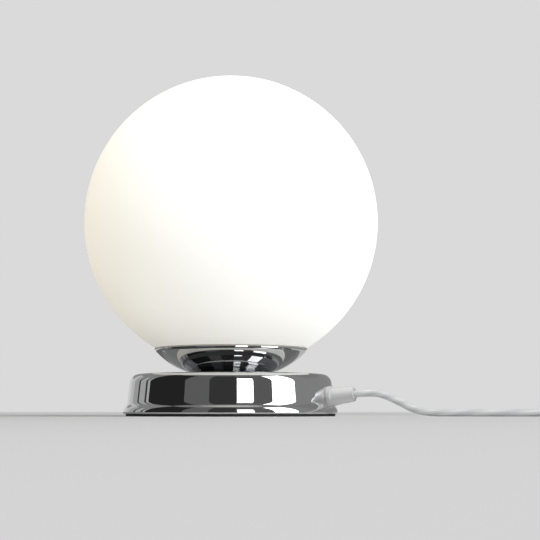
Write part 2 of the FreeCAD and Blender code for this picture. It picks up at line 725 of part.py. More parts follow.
def rounded_ends(body, radius, z):
    """Rounds the edges that lie at one height."""
    rim = [edge for edge in body.Edges if abs(edge.BoundBox.ZMin - z) + abs(edge.BoundBox.ZMax - z) < near]
    return body.makeFillet(radius, rim)


form = rounded_block(half_l, half_w, switch_corner, 0, switch_h)
form = rounded_ends(form, switch_edge, switch_h)
form = rounded_ends(form, switch_foot_edge, 0)
nose_end = nose_sunk + nose_len
nose = lathe((0, 0), (nose_root_r, 0), (nose_root_r, nose_sunk), (nose_tip_r, nose_end), (0, nose_end))
nose.Placement = FreeCAD.Placement(V(half_l - nose_sunk, 0, switch_split_z), FreeCAD.Rotation(UP, V(1, 0, 0)))
form = form.fuse([nose, mirrored_x(nose)])
cavity_top_z = switch_h - switch_wall
cavity = rounded_block(half_l - switch_wall, half_w - switch_wall, cavity_corner, switch_wall, cavity_top_z)
screw_places = ((switch_screw_x, switch_screw_y), (-switch_screw_x, -switch_screw_y))
for x, y in screw_places:
    cavity = cavity.cut(moved(ring(0, switch_boss_r, 0, switch_h), x, y))
past_end = half_l + nose_end
above = block(-past_end, past_end, -switch_w, switch_w, switch_split_z, 2 * switch_h)
cord_bore = rod(V(-past_end, 0, switch_split_z), V(past_end, 0, switch_split_z), cord_r + thread_play)
switch_base = form.cut([above, cavity, cord_bore])
switch_cover = form.common(above).cut([cavity, cord_bore])
slot = block(-rocker_opening, rocker_opening, -slot_half_w, slot_half_w, switch_split_z, switch_h + overcut)
switch_cover = switch_cover.cut(slot)
for side in (1, -1):
    ear_y = sorted((side * slot_half_w, side * (slot_half_w + ear_t)))
    ear = block(-ear_half, ear_half, *ear_y, rocker_pin_z - ear_drop, cavity_top_z + switch_wall / 2)
    switch_cover = switch_cover.fuse(ear)
pin_reach = rocker_w / 2 + rocker_pin_len
bearing_reach = pin_reach + hole_play
bearings = rod(V(0, -bearing_reach, rocker_pin_z), V(0, bearing_reach, rocker_pin_z), rocker_pin_r + pivot_play)
switch_cover = switch_cover.cut(bearings)
switch_screws = []
screw_top = cavity_top_z - switch_screw_short
head_z = switch_screw_inset + switch_screw_head_h
hole_r = switch_screw_r + thread_play
hole_head_r = switch_screw_head_r + hole_play
hole_top = screw_top + hole_play
screw = lathe(
    (0, switch_screw_inset), (switch_screw_head_r, switch_screw_inset), (switch_screw_head_r, head_z),
    (switch_screw_r, head_z), (switch_screw_r, screw_top), (0, screw_top))
hole = lathe(
    (0, 0), (hole_head_r, 0), (hole_head_r, head_z), (hole_r, head_z), (hole_r, hole_top), (0, hole_top))
for x, y in screw_places:
    switch_base = switch_base.cut(moved(hole, x, y))
    switch_cover = switch_cover.cut(moved(hole, x, y))
    switch_screws.append(moved(screw, switch_x + x, switch_y + y))
parts["switch_base"] = moved(switch_base, switch_x, switch_y)
parts["switch_cover"] = moved(switch_cover.removeSplitter(), switch_x, switch_y)
parts["switch_screws"] = Part.makeCompound(switch_screws)

top = rocker_pin_z + rocker_top
low = rocker_pin_z + rocker_floor
stem_z = rocker_pin_z - stem_drop
under_half = rocker_half - rocker_side_in
rocker = outline(
    (-under_half, low), (-stem_root_half, low), (-stem_tip_half, stem_z), (stem_tip_half, stem_z),
    (stem_root_half, low), (under_half, low), (rocker_half, top), ((0, top - rocker_dip), (-rocker_half, top)))
rocker = rocker.extrude(V(0, rocker_w, 0))
rocker.translate(V(0, -rocker_w / 2, 0))
pins = rod(V(0, -pin_reach, rocker_pin_z), V(0, pin_reach, rocker_pin_z), rocker_pin_r)
rocker = rocker.fuse(pins).removeSplitter()
rocker.rotate(V(0, 0, rocker_pin_z), V(0, 1, 0), -rocker_throw / 2)
parts["switch_rocker"] = moved(rocker, switch_x, switch_y)

strip_z = switch_wall + strip_t / 2
fixed_strip = bent_strip([(-strip_end_x, strip_z), (-fixed_tip_x, strip_z)], strip_t, strip_w, strip_bend)
spring_points = [(strip_end_x, strip_z), (strip_bend_x, strip_z), (strip_tip_x, stem_z - stem_room)]
spring_strip = bent_strip(spring_points, strip_t, strip_w, strip_bend)
contacts = Part.makeCompound([fixed_strip, spring_strip])
parts["switch_contacts"] = moved(contacts, switch_x, switch_y)

# --- cord on the surface -------------------------------------------------------------------
lie_z = cord_r + floor_gap
exit_tip = exit_turning.multVec(cord_tip)
nose_reach = half_l + nose_len
nose_in = V(switch_x + nose_reach, switch_y, switch_split_z)
nose_out = V(switch_x - nose_reach, switch_y, switch_split_z)
lead_points = [
    (106.9, -38.95, 10.9), (121.7, -44.3, lie_z), (147.0, -51.8, lie_z), (190.0, -60.2, lie_z),
    (238.0, -65.0, lie_z), (285.0, -66.4, lie_z), (325.0, -64.6, lie_z), (354.0, -59.8, lie_z),
    (370.3, -48.5, lie_z), (376.5, -30.5, lie_z), (370.5, -12.5, 3.8), (354.8, -1.0, switch_split_z)]
lead_route = [exit_tip, exit_turning.multVec(along_exit(relief_len + lead_straight))]
lead_route += [V(*point) for point in lead_points] + [nose_in]
parts["cord_lead"] = cord_tube("cord_lead", lead_route, cord_r)

# --- coil: two layers of a flat spiral, in along the surface and out on top of it -----------
layer_z = (lie_z, lie_z + coil_pitch)


def half_turn(centre_x, r, z, sign):
    """Half circle from one side of the coil to the other, clockwise seen from above."""
    a = V(centre_x - sign * r, coil_y, z)
    b = V(centre_x, coil_y + sign * r, z)
    c = V(centre_x + sign * r, coil_y, z)
    return Part.Arc(a, b, c).toShape()


coil_edges = []
r = coil_outer_r
centre_x = coil_x
sign = 1
coil_start = V(coil_x - r, coil_y, layer_z[0])
tail_len = 2 * cord_r
coil_in = coil_start - V(0, tail_len, 0)
coil_edges.append(Part.makeLine(coil_in, coil_start))
for half in range(coil_half_turns):
    coil_edges.append(half_turn(centre_x, r, layer_z[0], sign))
    centre_x += sign * coil_pitch / 2
    r -= coil_pitch / 2
    sign = -sign
climb = coil_pitch
r_least = r
bow = math.sqrt(r ** 2 + climb ** 2 / 4)
climb_a = V(centre_x - sign * r, coil_y, layer_z[0])
climb_m = V(centre_x, coil_y + sign * bow, layer_z[0] + climb / 2)
climb_c = V(centre_x + sign * r, coil_y, layer_z[1])


def arc_from(start, way, end):
    """Arc that leaves start along way and ends at end."""
    chord_way = (end - start).normalize()
    half_angle = way.getAngle(chord_way)
    bow_way = (way - chord_way * way.dot(chord_way)).normalize()
    radius = (end - start).Length / 2 / math.sin(half_angle)
    middle = (start + end) * 0.5 + bow_way * (radius * (1 - math.cos(half_angle)))
    return Part.Arc(start, middle, end).toShape()


coil_edges.append(arc_from(climb_a, V(0, sign, 0), climb_m))
coil_edges.append(arc_from(climb_c, V(0, sign, 0), climb_m))
sign = -sign
for half in range(coil_half_turns):
    r += coil_pitch / 2
    centre_x += sign * coil_pitch / 2
    coil_edges.append(half_turn(centre_x, r, layer_z[1], sign))
    sign = -sign
coil_end = V(centre_x - sign * r, coil_y, layer_z[1])
coil_out = coil_end + V(0, sign * tail_len, 0)
coil_edges.append(Part.makeLine(coil_end, coil_out))
coil_path = Part.Wire(Part.__sortEdges__(coil_edges))
coil = tube_along(coil_path, cord_r)
parts["cord_coil"] = coil
coil_share = coil.Volume / (math.pi * cord_r ** 2 * coil_path.Length)
print(f"cord_coil: length {coil_path.Length:.1f}, least radius {r_least:.1f}, volume share {coil_share:.4f}")

along = coil_path.discretize(Distance=measure_step)
skip = math.ceil(4 * cord_r / measure_step)   # two diameters along
least = min(here.distanceToPoint(there) for i, here in enumerate(along) for there in along[i + skip:])
print(f"cord_coil: least gap to itself {least - 2 * cord_r:.2f}")

to_coil_points = [
    (260.5, switch_y, switch_split_z), (246.2, 5.1, 4.5), (236.2, 16.8, 2.7), (coil_start.x, 35.8, lie_z)]
parts["cord_to_coil"] = cord_tube(
    "cord_to_coil", [nose_out] + [V(*point) for point in to_coil_points] + [coil_in], cord_r)

# --- plug ----------------------------------------------------------------------------------
plug_z = plug_th / 2
to_plug_points = [
    (coil_end.x, 38.5, layer_z[1]), (310.6, 25.0, 5.8), (323.5, 16.6, 3.6), (343.2, plug_y, 4.6),
    (358.0, plug_y, plug_z)]
plug_start = V(plug_x, plug_y, plug_z)
parts["cord_to_plug"] = cord_tube(
    "cord_to_plug", [coil_out] + [V(*point) for point in to_plug_points] + [plug_start], cord_r)


def plug_lathe(start, *legs):
    """Turned solid on the plug's axis; heights count from the tail's end towards the pins."""
    solid = lathe(start, *legs)
    solid.Placement = FreeCAD.Placement(plug_start, FreeCAD.Rotation(UP, V(1, 0, 0)))
    return solid


face_x = plug_tail_len + plug_len
shoulder_x = face_x - plug_shoulder
neck_x = plug_tail_len + plug_neck
plug_side = [
    (plug_tail_len, 0), (plug_tail_len, plug_tail_w / 2), (neck_x, plug_tail_w / 2),
    (shoulder_x, plug_face_w / 2), (face_x, plug_face_w / 2), (face_x, 0)]
half_edge = rounded_path([V(x, y, 0) for x, y in plug_side], [plug_edge, plug_corner, plug_corner, plug_edge])
plug_face = Part.Face(Part.Wire(half_edge.Edges + mirrored_y(half_edge).Edges))
plug_form = plug_face.extrude(V(0, 0, plug_th))
plug_form = rounded_ends(plug_form, plug_edge, plug_th)
plug_form = rounded_ends(plug_form, plug_edge, 0)
plug_form.translate(V(plug_start.x, plug_start.y, 0))
tail_end = plug_tail_len + tail_sunk
tail = plug_lathe(
    (0, 0), (plug_tail_tip_r, 0), (plug_tail_root_r, plug_tail_len), (plug_tail_root_r, tail_end),
    (0, tail_end))
plug_body = plug_form.fuse(tail).removeSplitter()
pin_root_x = face_x - pin_root
sleeve_end = face_x + pin_sleeve_len
pin_end = face_x + pin_len
tip_foot = (pin_r, pin_end - pin_tip_len)
pin = plug_lathe(
    (0, pin_root_x), (pin_core_r, pin_root_x), (pin_core_r, sleeve_end), (pin_r, sleeve_end), tip_foot,
    bowed(tip_foot, (pin_tip_r, pin_end), pin_tip_bow), (0, pin_end))
sleeve = plug_lathe(
    (pin_core_r, face_x), (pin_sleeve_r, face_x), (pin_sleeve_r, sleeve_end), (pin_core_r, sleeve_end))
socket = plug_lathe((0, pin_root_x), (pin_core_r, pin_root_x), (pin_core_r, pin_end), (0, pin_end))
plug_pins = []
plug_sleeves = []
for side in (1, -1):
    plug_body = plug_body.cut(moved(socket, 0, side * pin_apart / 2))
    plug_pins.append(moved(pin, 0, side * pin_apart / 2))
    plug_sleeves.append(moved(sleeve, 0, side * pin_apart / 2))
parts["plug_body"] = plug_body
parts["plug_pins"] = Part.makeCompound(plug_pins)
parts["plug_sleeves"] = Part.makeCompound(plug_sleeves)

os.makedirs("parts", exist_ok=True)
for name, shape in parts.items():
    shape.exportStep(f"parts/{name}.step")
    print(f"{name}: valid {shape.isValid()}, solids {len(shape.Solids)}, volume {shape.Volume:.0f}")
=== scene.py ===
import bmesh
import bpy
from math import atan2, cos, pi, radians, sin, sqrt, tan
from mathutils import Matrix, Vector


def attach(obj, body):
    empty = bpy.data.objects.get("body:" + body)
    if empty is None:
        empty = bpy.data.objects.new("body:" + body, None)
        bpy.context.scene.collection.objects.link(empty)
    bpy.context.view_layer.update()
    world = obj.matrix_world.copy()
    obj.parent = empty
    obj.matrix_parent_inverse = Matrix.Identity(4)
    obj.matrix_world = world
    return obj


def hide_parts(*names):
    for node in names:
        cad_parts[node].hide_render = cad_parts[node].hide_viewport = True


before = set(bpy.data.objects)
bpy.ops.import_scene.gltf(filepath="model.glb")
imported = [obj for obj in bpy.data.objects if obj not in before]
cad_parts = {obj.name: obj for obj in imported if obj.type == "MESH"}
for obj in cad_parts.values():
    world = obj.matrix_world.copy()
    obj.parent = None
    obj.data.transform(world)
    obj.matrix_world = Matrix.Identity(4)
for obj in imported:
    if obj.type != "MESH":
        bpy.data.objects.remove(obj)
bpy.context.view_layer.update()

# --- the view ---
# The lamp is seen from just above the surface that it stands on, with the eye tilted slightly up.
# A pale plain room lights it, and cards that only reflections show give the plating a studio to mirror.
EYE = (0.0264, -0.815, 0.0035)
EYE_TILT = radians(6.7)
LENS = 80.0
NEAREST = 0.01           # nothing nearer to the eye is drawn
MIRROR_BOUNCES = 12
FLOOR_R = 4.0
FLOOR_GREY = 0.6
FAR_FLOOR = 0.26         # glow that keeps the floor pale far from the key light
FAR_FROM, FAR_TO = 0.06, 0.5  # where that glow starts and is full, in shares of the floor's radius
ROOM_GREY = 0.7
ROOM_LIGHT = 0.5
KEY_LIGHT = 26.0
KEY_PLACE = (1.1, -0.9, 1.7)
KEY_AIM = (0.0, 0.0, 0.08)
KEY_SIZE = 1.2
CARD_R = 1.7
CARD_FOOT, CARD_HEAD = -0.6, 2.4
CARD_SPLIT = 0.85        # height where the low cards end and the high ones start
CARD_STEP = 4.0          # degrees to each flat of a round card
DISC_CORNERS = 64
# (from, to) degrees round the lamp from the eye's side, positive to the right, with the card's grey
TALL_CARDS = [(-99, -49.5, 0.022), (-49.5, -21.5, 0.14), (-21.5, 8.5, 0.046), (8.5, 76.5, 0.13),
              (76.5, 100, 0.29)]
LOW_CARDS = [(-146, -134, 0.6), (-134, -121.5, 0.42), (-121.5, -118, 0.05), (-118, -106.5, 0.46),
             (-106.5, -103, 0.05), (-103, -99, 0.52), (100, 163, 0.29)]
HIGH_CARDS = [(-146, -99, 0.28), (100, 163, 0.25)]
REAR_CARDS = [(-180, -146, 0.3), (163, 180, 0.3)]
REAR_FOOT = 0.35
CLEAR_FROM, CLEAR_TO = 76, 163  # cards that start between these also show through the clear pieces
WINDOWS = [(8.5, 26, 0.95), (47.5, 76.0, 2.2)]  # (from, to) before the tall cards, and the head's height
WINDOW_R = 1.68
WINDOW_GLOW = 4.0
CEILING_GREY = 0.22
TABLES = [(-95, 95, 0.07), (-180, -95, 0.15), (95, 180, 0.55)]  # the surface as the plating mirrors it
TABLE_FROM, TABLE_TO = 0.08, 1.69
TABLE_Z = 0.0006

scene = bpy.context.scene
scene.view_settings.view_transform = "Standard"
scene.cycles.glossy_bounces = MIRROR_BOUNCES


def placed(name, data, finish=None):
    """Object of its data at the origin, in a finish if there is one, linked to the scene."""
    if finish:
        data.materials.append(finish.material)
    piece = bpy.data.objects.new(name, data)
    scene.collection.objects.link(piece)
    return piece


camera_data = bpy.data.cameras.new("eye")
camera_data.lens = LENS
camera_data.clip_start = NEAREST
camera = placed("eye", camera_data)
camera.location = EYE
camera.rotation_euler = (pi / 2 + EYE_TILT, 0, 0)
scene.camera = camera

key_data = bpy.data.lights.new("key", "AREA")
key_data.size = KEY_SIZE
key_data.energy = KEY_LIGHT
key = placed("key", key_data)
key.location = KEY_PLACE
key.rotation_euler = (Vector(KEY_AIM) - Vector(KEY_PLACE)).to_track_quat("-Z", "Y").to_euler()
key.visible_glossy = False


class Value:
    """A socket that can be used in sums: each operator adds its Math node to the same tree."""

    def __init__(self, nodes, socket):
        self.nodes = nodes
        self.socket = socket

    def maths(self, operation, *terms):
        return self.nodes.node("ShaderNodeMath", dict(enumerate(terms)), operation=operation)

    def __add__(self, other):
        return self.maths("ADD", self, other)

    def __sub__(self, other):
        return self.maths("SUBTRACT", self, other)

    def __rsub__(self, other):
        return self.maths("SUBTRACT", other, self)

    def __mul__(self, other):
        return self.maths("MULTIPLY", self, other)

    def __truediv__(self, other):
        return self.maths("DIVIDE", self, other)

    __radd__ = __add__
    __rmul__ = __mul__


class Nodes:
    """A tree of a finish, the room or a shape, which grows by node() alone."""

    def __init__(self, tree):
        self.tree = tree

    def fill(self, socket, value):
        """Links a Value to a socket, or sets the socket to a plain value."""
        if isinstance(value, Value):
            self.tree.links.new(value.socket, socket)
        elif isinstance(value, tuple) and socket.type == "RGBA":
            socket.default_value = (*value, 1.0)
        else:
            socket.default_value = value

    def node(self, kind, values=None, output=0, **settings):
        """Adds a node, with its settings first and then its sockets, and gives one output."""
        node = self.tree.nodes.new(kind)
        for name, setting in settings.items():
            if name == "stops":
                stops = node.color_ramp.elements
                stops[0].position = setting[0][0]
                stops[1].position = setting[-1][0]
                for position, _ in setting[1:-1]:
                    stops.new(position)
                for stop, (_, color) in zip(stops, setting):
                    stop.color = (*color, 1.0)
            else:
                setattr(node, name, setting)
        for name, value in (values or {}).items():
            self.fill(node.inputs[name], value)
        return Value(self, node.outputs[output])


class Finish(Nodes):
    """A material on the Principled shader, from plain values by socket name."""

    def __init__(self, name, values):
        self.material = bpy.data.materials.new(name)
        self.material.use_nodes = True
        super().__init__(self.material.node_tree)
        self.shader = self.tree.nodes["Principled BSDF"]
        self.set(values)

    def set(self, values):
        for name, value in values.items():
            self.fill(self.shader.inputs[name], value)

    def place(self, stretch=(1, 1, 1)):
        """Metres in the piece's own frame, drawn out along an axis where its stretch is under 1."""
        place = self.node("ShaderNodeTexCoord", output="Object")
        return self.node("ShaderNodeMapping", {"Vector": place, "Scale": stretch})

    def part_of(self, place, axis):
        """X, Y or Z of a vector."""
        return self.node("ShaderNodeSeparateXYZ", {0: place}, axis)

    def noise(self, scale, detail=3, stretch=(1, 1, 1)):
        """Noise between 0 and 1, with scale cells to the metre."""
        values = {"Vector": self.place(stretch), "Scale": scale, "Detail": detail}
        return self.node("ShaderNodeTexNoise", values, "Fac")

    def blend(self, factor, first, second, way="MIX"):
        """Colour between two colours, which are a Mix node's sockets 6 and 7, or blended another way."""
        values = {"Factor": factor, 6: first, 7: second}
        return self.node("ShaderNodeMix", values, 2, data_type="RGBA", blend_type=way)

    def ramp(self, factor, *stops):
        """Colour ramp through (position, colour) stops."""
        return self.node("ShaderNodeValToRGB", {"Fac": factor}, stops=stops)

    def surface(self, color, grain, roughness, depth=0.0, bumps=None):
        """A colour, a roughness of (least, spread) over a grain, and bumps by the grain or others."""
        least, spread = roughness
        self.set({"Base Color": color, "Roughness": least + spread * grain})
        if depth:
            self.set({"Normal": self.node("ShaderNodeBump", {"Height": bumps or grain, "Distance": depth})})


def grey(level):
    return (level, level, level)


def mesh_piece(name, vertices, faces, finish):
    """Object from corners and faces."""
    mesh = bpy.data.meshes.new(name)
    mesh.from_pydata(vertices, [], faces)
    return placed(name, mesh, finish)


def studio_card(name, vertices, faces, level, through=False):
    """Card of one even glow that only reflections show, or also what is seen through the clear pieces."""
    glow = {"Emission Color": grey(level), "Emission Strength": 1.0}
    finish = Finish(name, {"Base Color": grey(0.0), "Roughness": 1.0, "Specular IOR Level": 0.0, **glow})
    card = mesh_piece(name, vertices, faces, finish)
    card.visible_camera = card.visible_diffuse = card.visible_shadow = False
    card.visible_volume_scatter = False
    card.visible_transmission = through


def disc(radius, height):
    """Corners and the face of a disc round the upright axis."""
    angles = [step * 2 * pi / DISC_CORNERS for step in range(DISC_CORNERS)]
    corners = [(radius * sin(angle), -radius * cos(angle), height) for angle in angles]
    return corners, [tuple(range(DISC_CORNERS))]


def round_card(name, sector, near, far):
    """Card round the upright axis over a sector, from one (radius, height) to another."""
    start, end, level = sector
    steps = max(2, int((end - start) / CARD_STEP))
    angles = [radians(start + (end - start) * step / steps) for step in range(steps + 1)]
    corners = [(radius * sin(angle), -radius * cos(angle), z)
               for angle in angles for radius, z in (near, far)]
    quads = [(2 * step, 2 * step + 1, 2 * step + 3, 2 * step + 2) for step in range(steps)]
    studio_card(name, corners, quads, level, CLEAR_FROM < start < CLEAR_TO)


for kind, cards, foot, head in (
        ("tall", TALL_CARDS, CARD_FOOT, CARD_HEAD), ("low", LOW_CARDS, CARD_FOOT, CARD_SPLIT),
        ("high", HIGH_CARDS, CARD_SPLIT, CARD_HEAD), ("rear", REAR_CARDS, REAR_FOOT, CARD_HEAD)):
    for number, sector in enumerate(cards):
        round_card(f"{kind}_card_{number}", sector, (CARD_R, foot), (CARD_R, head))
for number, sector in enumerate(TABLES):
    round_card(f"table_{number}", sector, (TABLE_FROM, TABLE_Z), (TABLE_TO, TABLE_Z))
for number, (start, end, head) in enumerate(WINDOWS):
    round_card(f"window_{number}", (start, end, WINDOW_GLOW), (WINDOW_R, 0.0), (WINDOW_R, head))
studio_card("ceiling", *disc(CARD_R, CARD_HEAD), CEILING_GREY)

world = bpy.data.worlds.new("room")
scene.world = world
world.use_nodes = True
room = Nodes(world.node_tree)
lighting = world.node_tree.nodes["Background"]
room.fill(lighting.inputs["Color"], grey(ROOM_LIGHT))
seen = room.node("ShaderNodeLightPath", output="Is Camera Ray")
for ray in ("Is Glossy Ray", "Is Transmission Ray"):
    seen = seen.maths("MAXIMUM", seen, room.node("ShaderNodeLightPath", output=ray))
plain = room.node("ShaderNodeBackground", {"Color": grey(ROOM_GREY)})
shown = room.node("ShaderNodeMixShader", {0: seen, 1: Value(room, lighting.outputs[0]), 2: plain})
room.fill(world.node_tree.nodes["World Output"].inputs["Surface"], shown)

ground = Finish("floor", {"Base Color": grey(FLOOR_GREY), "Roughness": 0.9, "Specular IOR Level": 0.0})
away = ground.node("ShaderNodeVectorMath", {0: ground.place()}, "Value", operation="LENGTH")
far_glow = ground.ramp(away / FLOOR_R, (FAR_FROM, grey(0.0)), (FAR_TO, grey(FAR_FLOOR)))
ground.set({"Emission Color": far_glow, "Emission Strength": 1.0})
floor = mesh_piece("floor", *disc(FLOOR_R, 0.0), ground)

# --- lead ---
# Round two-core mains lead, 4.6 mm thick: a glossy clear sheath, through which the silvery cores show
# faintly as they twist, with painted shade where the cores meet and between their strands. It leaves the
# base through the strain relief, falls to the surface, and turns back to the in-line switch.
LEAD_D = 0.0046
LIE = 0.0024             # centre's height where it lies
SWITCH_AXIS = 0.007      # centre's height in the switch's ends
LEAD_LENGTH = 0.368
TWIST = 0.034            # length of one turn of the two cores
STRAND = 0.0011          # from one strand of the cores to the next, along the lead
STRANDS_ROUND = 14.0
STRAND_PAINTED_SHADE = 0.28      # how much darker the painted shade between strands makes it
LEAD_POINTS = [
    (0.08164, -0.02971, 0.0145), (0.09462, -0.03444, 0.016), (0.1069, -0.03895, 0.0109),
    (0.1217, -0.0443, LIE), (0.147, -0.0518, LIE), (0.19, -0.0602, LIE), (0.238, -0.065, LIE),
    (0.285, -0.0664, LIE), (0.325, -0.0646, LIE), (0.354, -0.0598, LIE), (0.3703, -0.0485, LIE),
    (0.3765, -0.0305, LIE), (0.3705, -0.0125, 0.0038), (0.3548, -0.001, SWITCH_AXIS),
    (0.337, -0.001, SWITCH_AXIS)]


def lead_finish(name, length):
    """Clear sheath over two pale cores that twist once in TWIST, on a piece of a length, with painted shade
    where the cores meet and between their strands.
    """
    finish = Finish(name, {"Coat Weight": 1.0, "Coat Roughness": 0.05})
    along = finish.node("ShaderNodeTexCoord", output="UV")
    u = finish.part_of(along, "X")
    v = finish.part_of(along, "Y")
    turn = (u * (length / TWIST) + v) * (4 * pi)
    # Painted shade: the colour is darkest where the two round cores meet and lighter on their crowns.
    core = turn.maths("SINE", turn) * 0.5 + 0.5
    strand = (u * (length / STRAND) + v * STRANDS_ROUND) * (2 * pi)
    strand_grooves_and_shade = strand.maths("SINE", strand) * 0.5 + 0.5
    # The grooves between strands get painted shade as well; the same pattern also makes the bumps.
    shades = finish.ramp(core * (1 - STRAND_PAINTED_SHADE + STRAND_PAINTED_SHADE * strand_grooves_and_shade),
                         (0.0, (0.68, 0.69, 0.7)), (0.5, (0.76, 0.77, 0.78)), (1.0, (0.84, 0.85, 0.85)))
    finish.surface(shades, finish.noise(900), (0.24, 0.1), 0.00001, strand_grooves_and_shade * core)
    return finish


def fitted(piece, body, slot, *nodes):
    """Lets a piece ride on its body and stand for CAD nodes, which it hides. Its slot is not used."""
    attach(piece, body)
    if nodes:
        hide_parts(*nodes)


def cord_piece(name, points, length, nodes, smoothness=6):
    """Round cord along one smooth line by its guide points, in place of CAD nodes."""
    data = bpy.data.curves.new(name, "CURVE")
    data.dimensions = "3D"
    data.bevel_depth = LEAD_D / 2
    data.bevel_resolution = 5
    data.resolution_u = smoothness
    data.use_fill_caps = True
    line = data.splines.new("NURBS")
    line.points.add(len(points) - 1)
    for control, point in zip(line.points, points):
        control.co = (*point, 1.0)
    line.order_u = 3
    line.use_endpoint_u = True
    line.use_smooth = True
    piece = placed(name, data, lead_finish(name, length))
    fitted(piece, "lamp", "clear_lead", *nodes)
    return piece


lead = cord_piece("lead", LEAD_POINTS, LEAD_LENGTH, ["cord_lead"])

# --- coiled end of the lead ---
# The rest of the same lead, put away as a flat coil of two layers beside the switch: it winds in along
# the surface, climbs one layer, winds out on top, and runs on to the plug.
COIL_CENTRE = (0.268, 0.058)
COIL_R = 0.0354
COIL_HALF_TURNS = 6      # in each layer
COIL_PITCH = 0.0051
COIL_STEPS = 12          # guide points to each half turn
COIL_LENGTH = 1.34
GUIDE_SWELL = 1 / (0.75 + 0.25 * cos(pi / COIL_STEPS))  # a guide point lies outside the line that it pulls
TO_COIL = [(0.275, -0.001, SWITCH_AXIS), (0.2605, -0.001, SWITCH_AXIS), (0.2462, 0.0051, 0.0045),
           (0.2362, 0.0168, 0.0027), (0.2326, 0.0358, LIE), (0.2326, 0.0534, LIE)]
TO_PLUG = [(0.3034, 0.0534, 0.0075), (0.3034, 0.0385, 0.0075), (0.3106, 0.025, 0.0058),
           (0.3235, 0.0166, 0.0036), (0.3432, 0.014, 0.0046), (0.358, 0.014, 0.00685),
           (0.373, 0.014, 0.00685)]


def coil_points():
    """Guide points of the whole coil, clockwise seen from above, from its left side."""
    centre_x, centre_y = COIL_CENTRE
    radius = COIL_R
    side = 1
    points = []
    top = [(LIE + COIL_PITCH, 1)] * COIL_HALF_TURNS
    for height, growth in [(LIE, -1)] * COIL_HALF_TURNS + [(LIE, 0)] + top:
        if growth == 1:
            radius += COIL_PITCH / 2
            centre_x += side * COIL_PITCH / 2
        reach = side * radius * GUIDE_SWELL
        for step in range(COIL_STEPS):
            angle = pi * (step + 0.5) / COIL_STEPS
            climb = COIL_PITCH * (step + 0.5) / COIL_STEPS if growth == 0 else 0.0
            points.append((centre_x - reach * cos(angle), centre_y + reach * sin(angle), height + climb))
        if growth == -1:
            centre_x += side * COIL_PITCH / 2
            radius -= COIL_PITCH / 2
        side = -side
    return points


coil = cord_piece("lead_coil", TO_COIL + coil_points() + TO_PLUG, COIL_LENGTH,
                  ["cord_to_coil", "cord_coil", "cord_to_plug"], smoothness=3)

# --- drum cover ---
# The foot's cover is one deep-drawn steel sheet, polished and plated: a drafted wall, a rounded shoulder,
# and a hollow flare over a bulging lip with a rolled hem. It rides on the base plate's bracket.
SHEET = 0.0008
COVER_TOP = 0.0279
LIP_R = 0.0722
HEM_FOOT = 0.0015
HEM_R = 0.0012
LIP_ROUND = 0.0058
LIP_LEAN = radians(40.8)
FLARE = 0.0052
DRAFT = radians(6.2)
SHOULDER = 0.0074        # its bend over the wall, which tightens to SHOULDER_TOP past SHOULDER_TURN
SHOULDER_TOP = 0.0048
SHOULDER_TURN = radians(35.0)
AXLE_HOLE_R = 0.0051
PLATED_STEPS = 256       # round the cover and the cup
ARC_STEP = radians(3.0)
LONG_RUN = 0.0012        # a straight run from this on gets two more points, this near its corners:
CORNER_GAP = 0.0003      # they keep the shading of its flat even
TOUCHING = 1e-7          # points this near are one


def arc_points(here, via, there):
    """Points of the arc from one Vector by another to a third, without the last."""
    u = via - here
    v = there - here
    twice_area = 2 * (u.x * v.y - u.y * v.x)
    centre = here + Vector((v.y * u.length_squared - u.y * v.length_squared,
                            u.x * v.length_squared - v.x * u.length_squared)) / twice_area
    radius = (here - centre).length
    first = atan2(here.y - centre.y, here.x - centre.x)
    turn = atan2(there.y - centre.y, there.x - centre.x) - first
    if twice_area < 0 < turn:
        turn -= 2 * pi
    if twice_area > 0 > turn:
        turn += 2 * pi
    steps = max(2, int(abs(turn) / ARC_STEP))
    return [on_arc(centre, radius, first + turn * step / steps) for step in range(steps)]


def on_arc(centre, radius, angle):
    return (centre[0] + radius * cos(angle), centre[1] + radius * sin(angle))


def traced(start, *legs):
    """Points round a closed outline of (radius, height) corners. A leg is a corner, or (via, corner)."""
    points = []
    here = Vector(start)
    for leg in legs + (start,):
        bent = isinstance(leg[0], tuple)
        there = Vector(leg[1] if bent else leg)
        if bent:
            points += arc_points(here, Vector(leg[0]), there)
        else:
            points.append(tuple(here))
            run = (there - here).length
            if run > LONG_RUN:
                keep = (there - here) * (CORNER_GAP / run)
                points.append(tuple(here + keep))
                points.append(tuple(there - keep))
        here = there
    return points


def finished(name, build, finish, sharp=40):
    """Object from a bmesh, with its normals outwards and its edges sharp past an angle in degrees."""
    bmesh.ops.remove_doubles(build, verts=build.verts, dist=TOUCHING)
    bmesh.ops.recalc_face_normals(build, faces=build.faces)
    mesh = bpy.data.meshes.new(name)
    build.to_mesh(mesh)
    build.free()
    mesh.shade_smooth()
    mesh.set_sharp_from_angle(angle=radians(sharp))
    return placed(name, mesh, finish)


def turned(name, finish, outline, steps=192, sharp=40):
    """Closed piece turned about the upright axis from a traced outline."""
    build = bmesh.new()
    angles = [2 * pi * step / steps for step in range(steps)]
    rings = []
    for radius, height in outline:
        if radius < TOUCHING:
            rings.append([build.verts.new((0, 0, height))] * steps)
        else:
            rings.append([build.verts.new((*on_arc((0, 0), radius, angle), height)) for angle in angles])
    for ring, after in zip(rings, rings[1:] + rings[:1]):
        for step in range(steps):
            onward = (step + 1) % steps
            corners = [ring[step], ring[onward], after[onward], after[step]]
            corners = [corner for index, corner in enumerate(corners) if corner not in corners[:index]]
            if len(corners) > 2:
                build.faces.new(corners)
    return finished(name, build, finish, sharp)


plating = Finish("plated_sheet", {"Metallic": 1.0})
haze = plating.noise(260, 4)
hairlines = plating.noise(2600, 2, (1, 1, 0.08))
plated = plating.blend(haze, (0.67, 0.674, 0.682), (0.71, 0.713, 0.718))
plating.surface(plated, haze * hairlines, (0.02, 0.03))

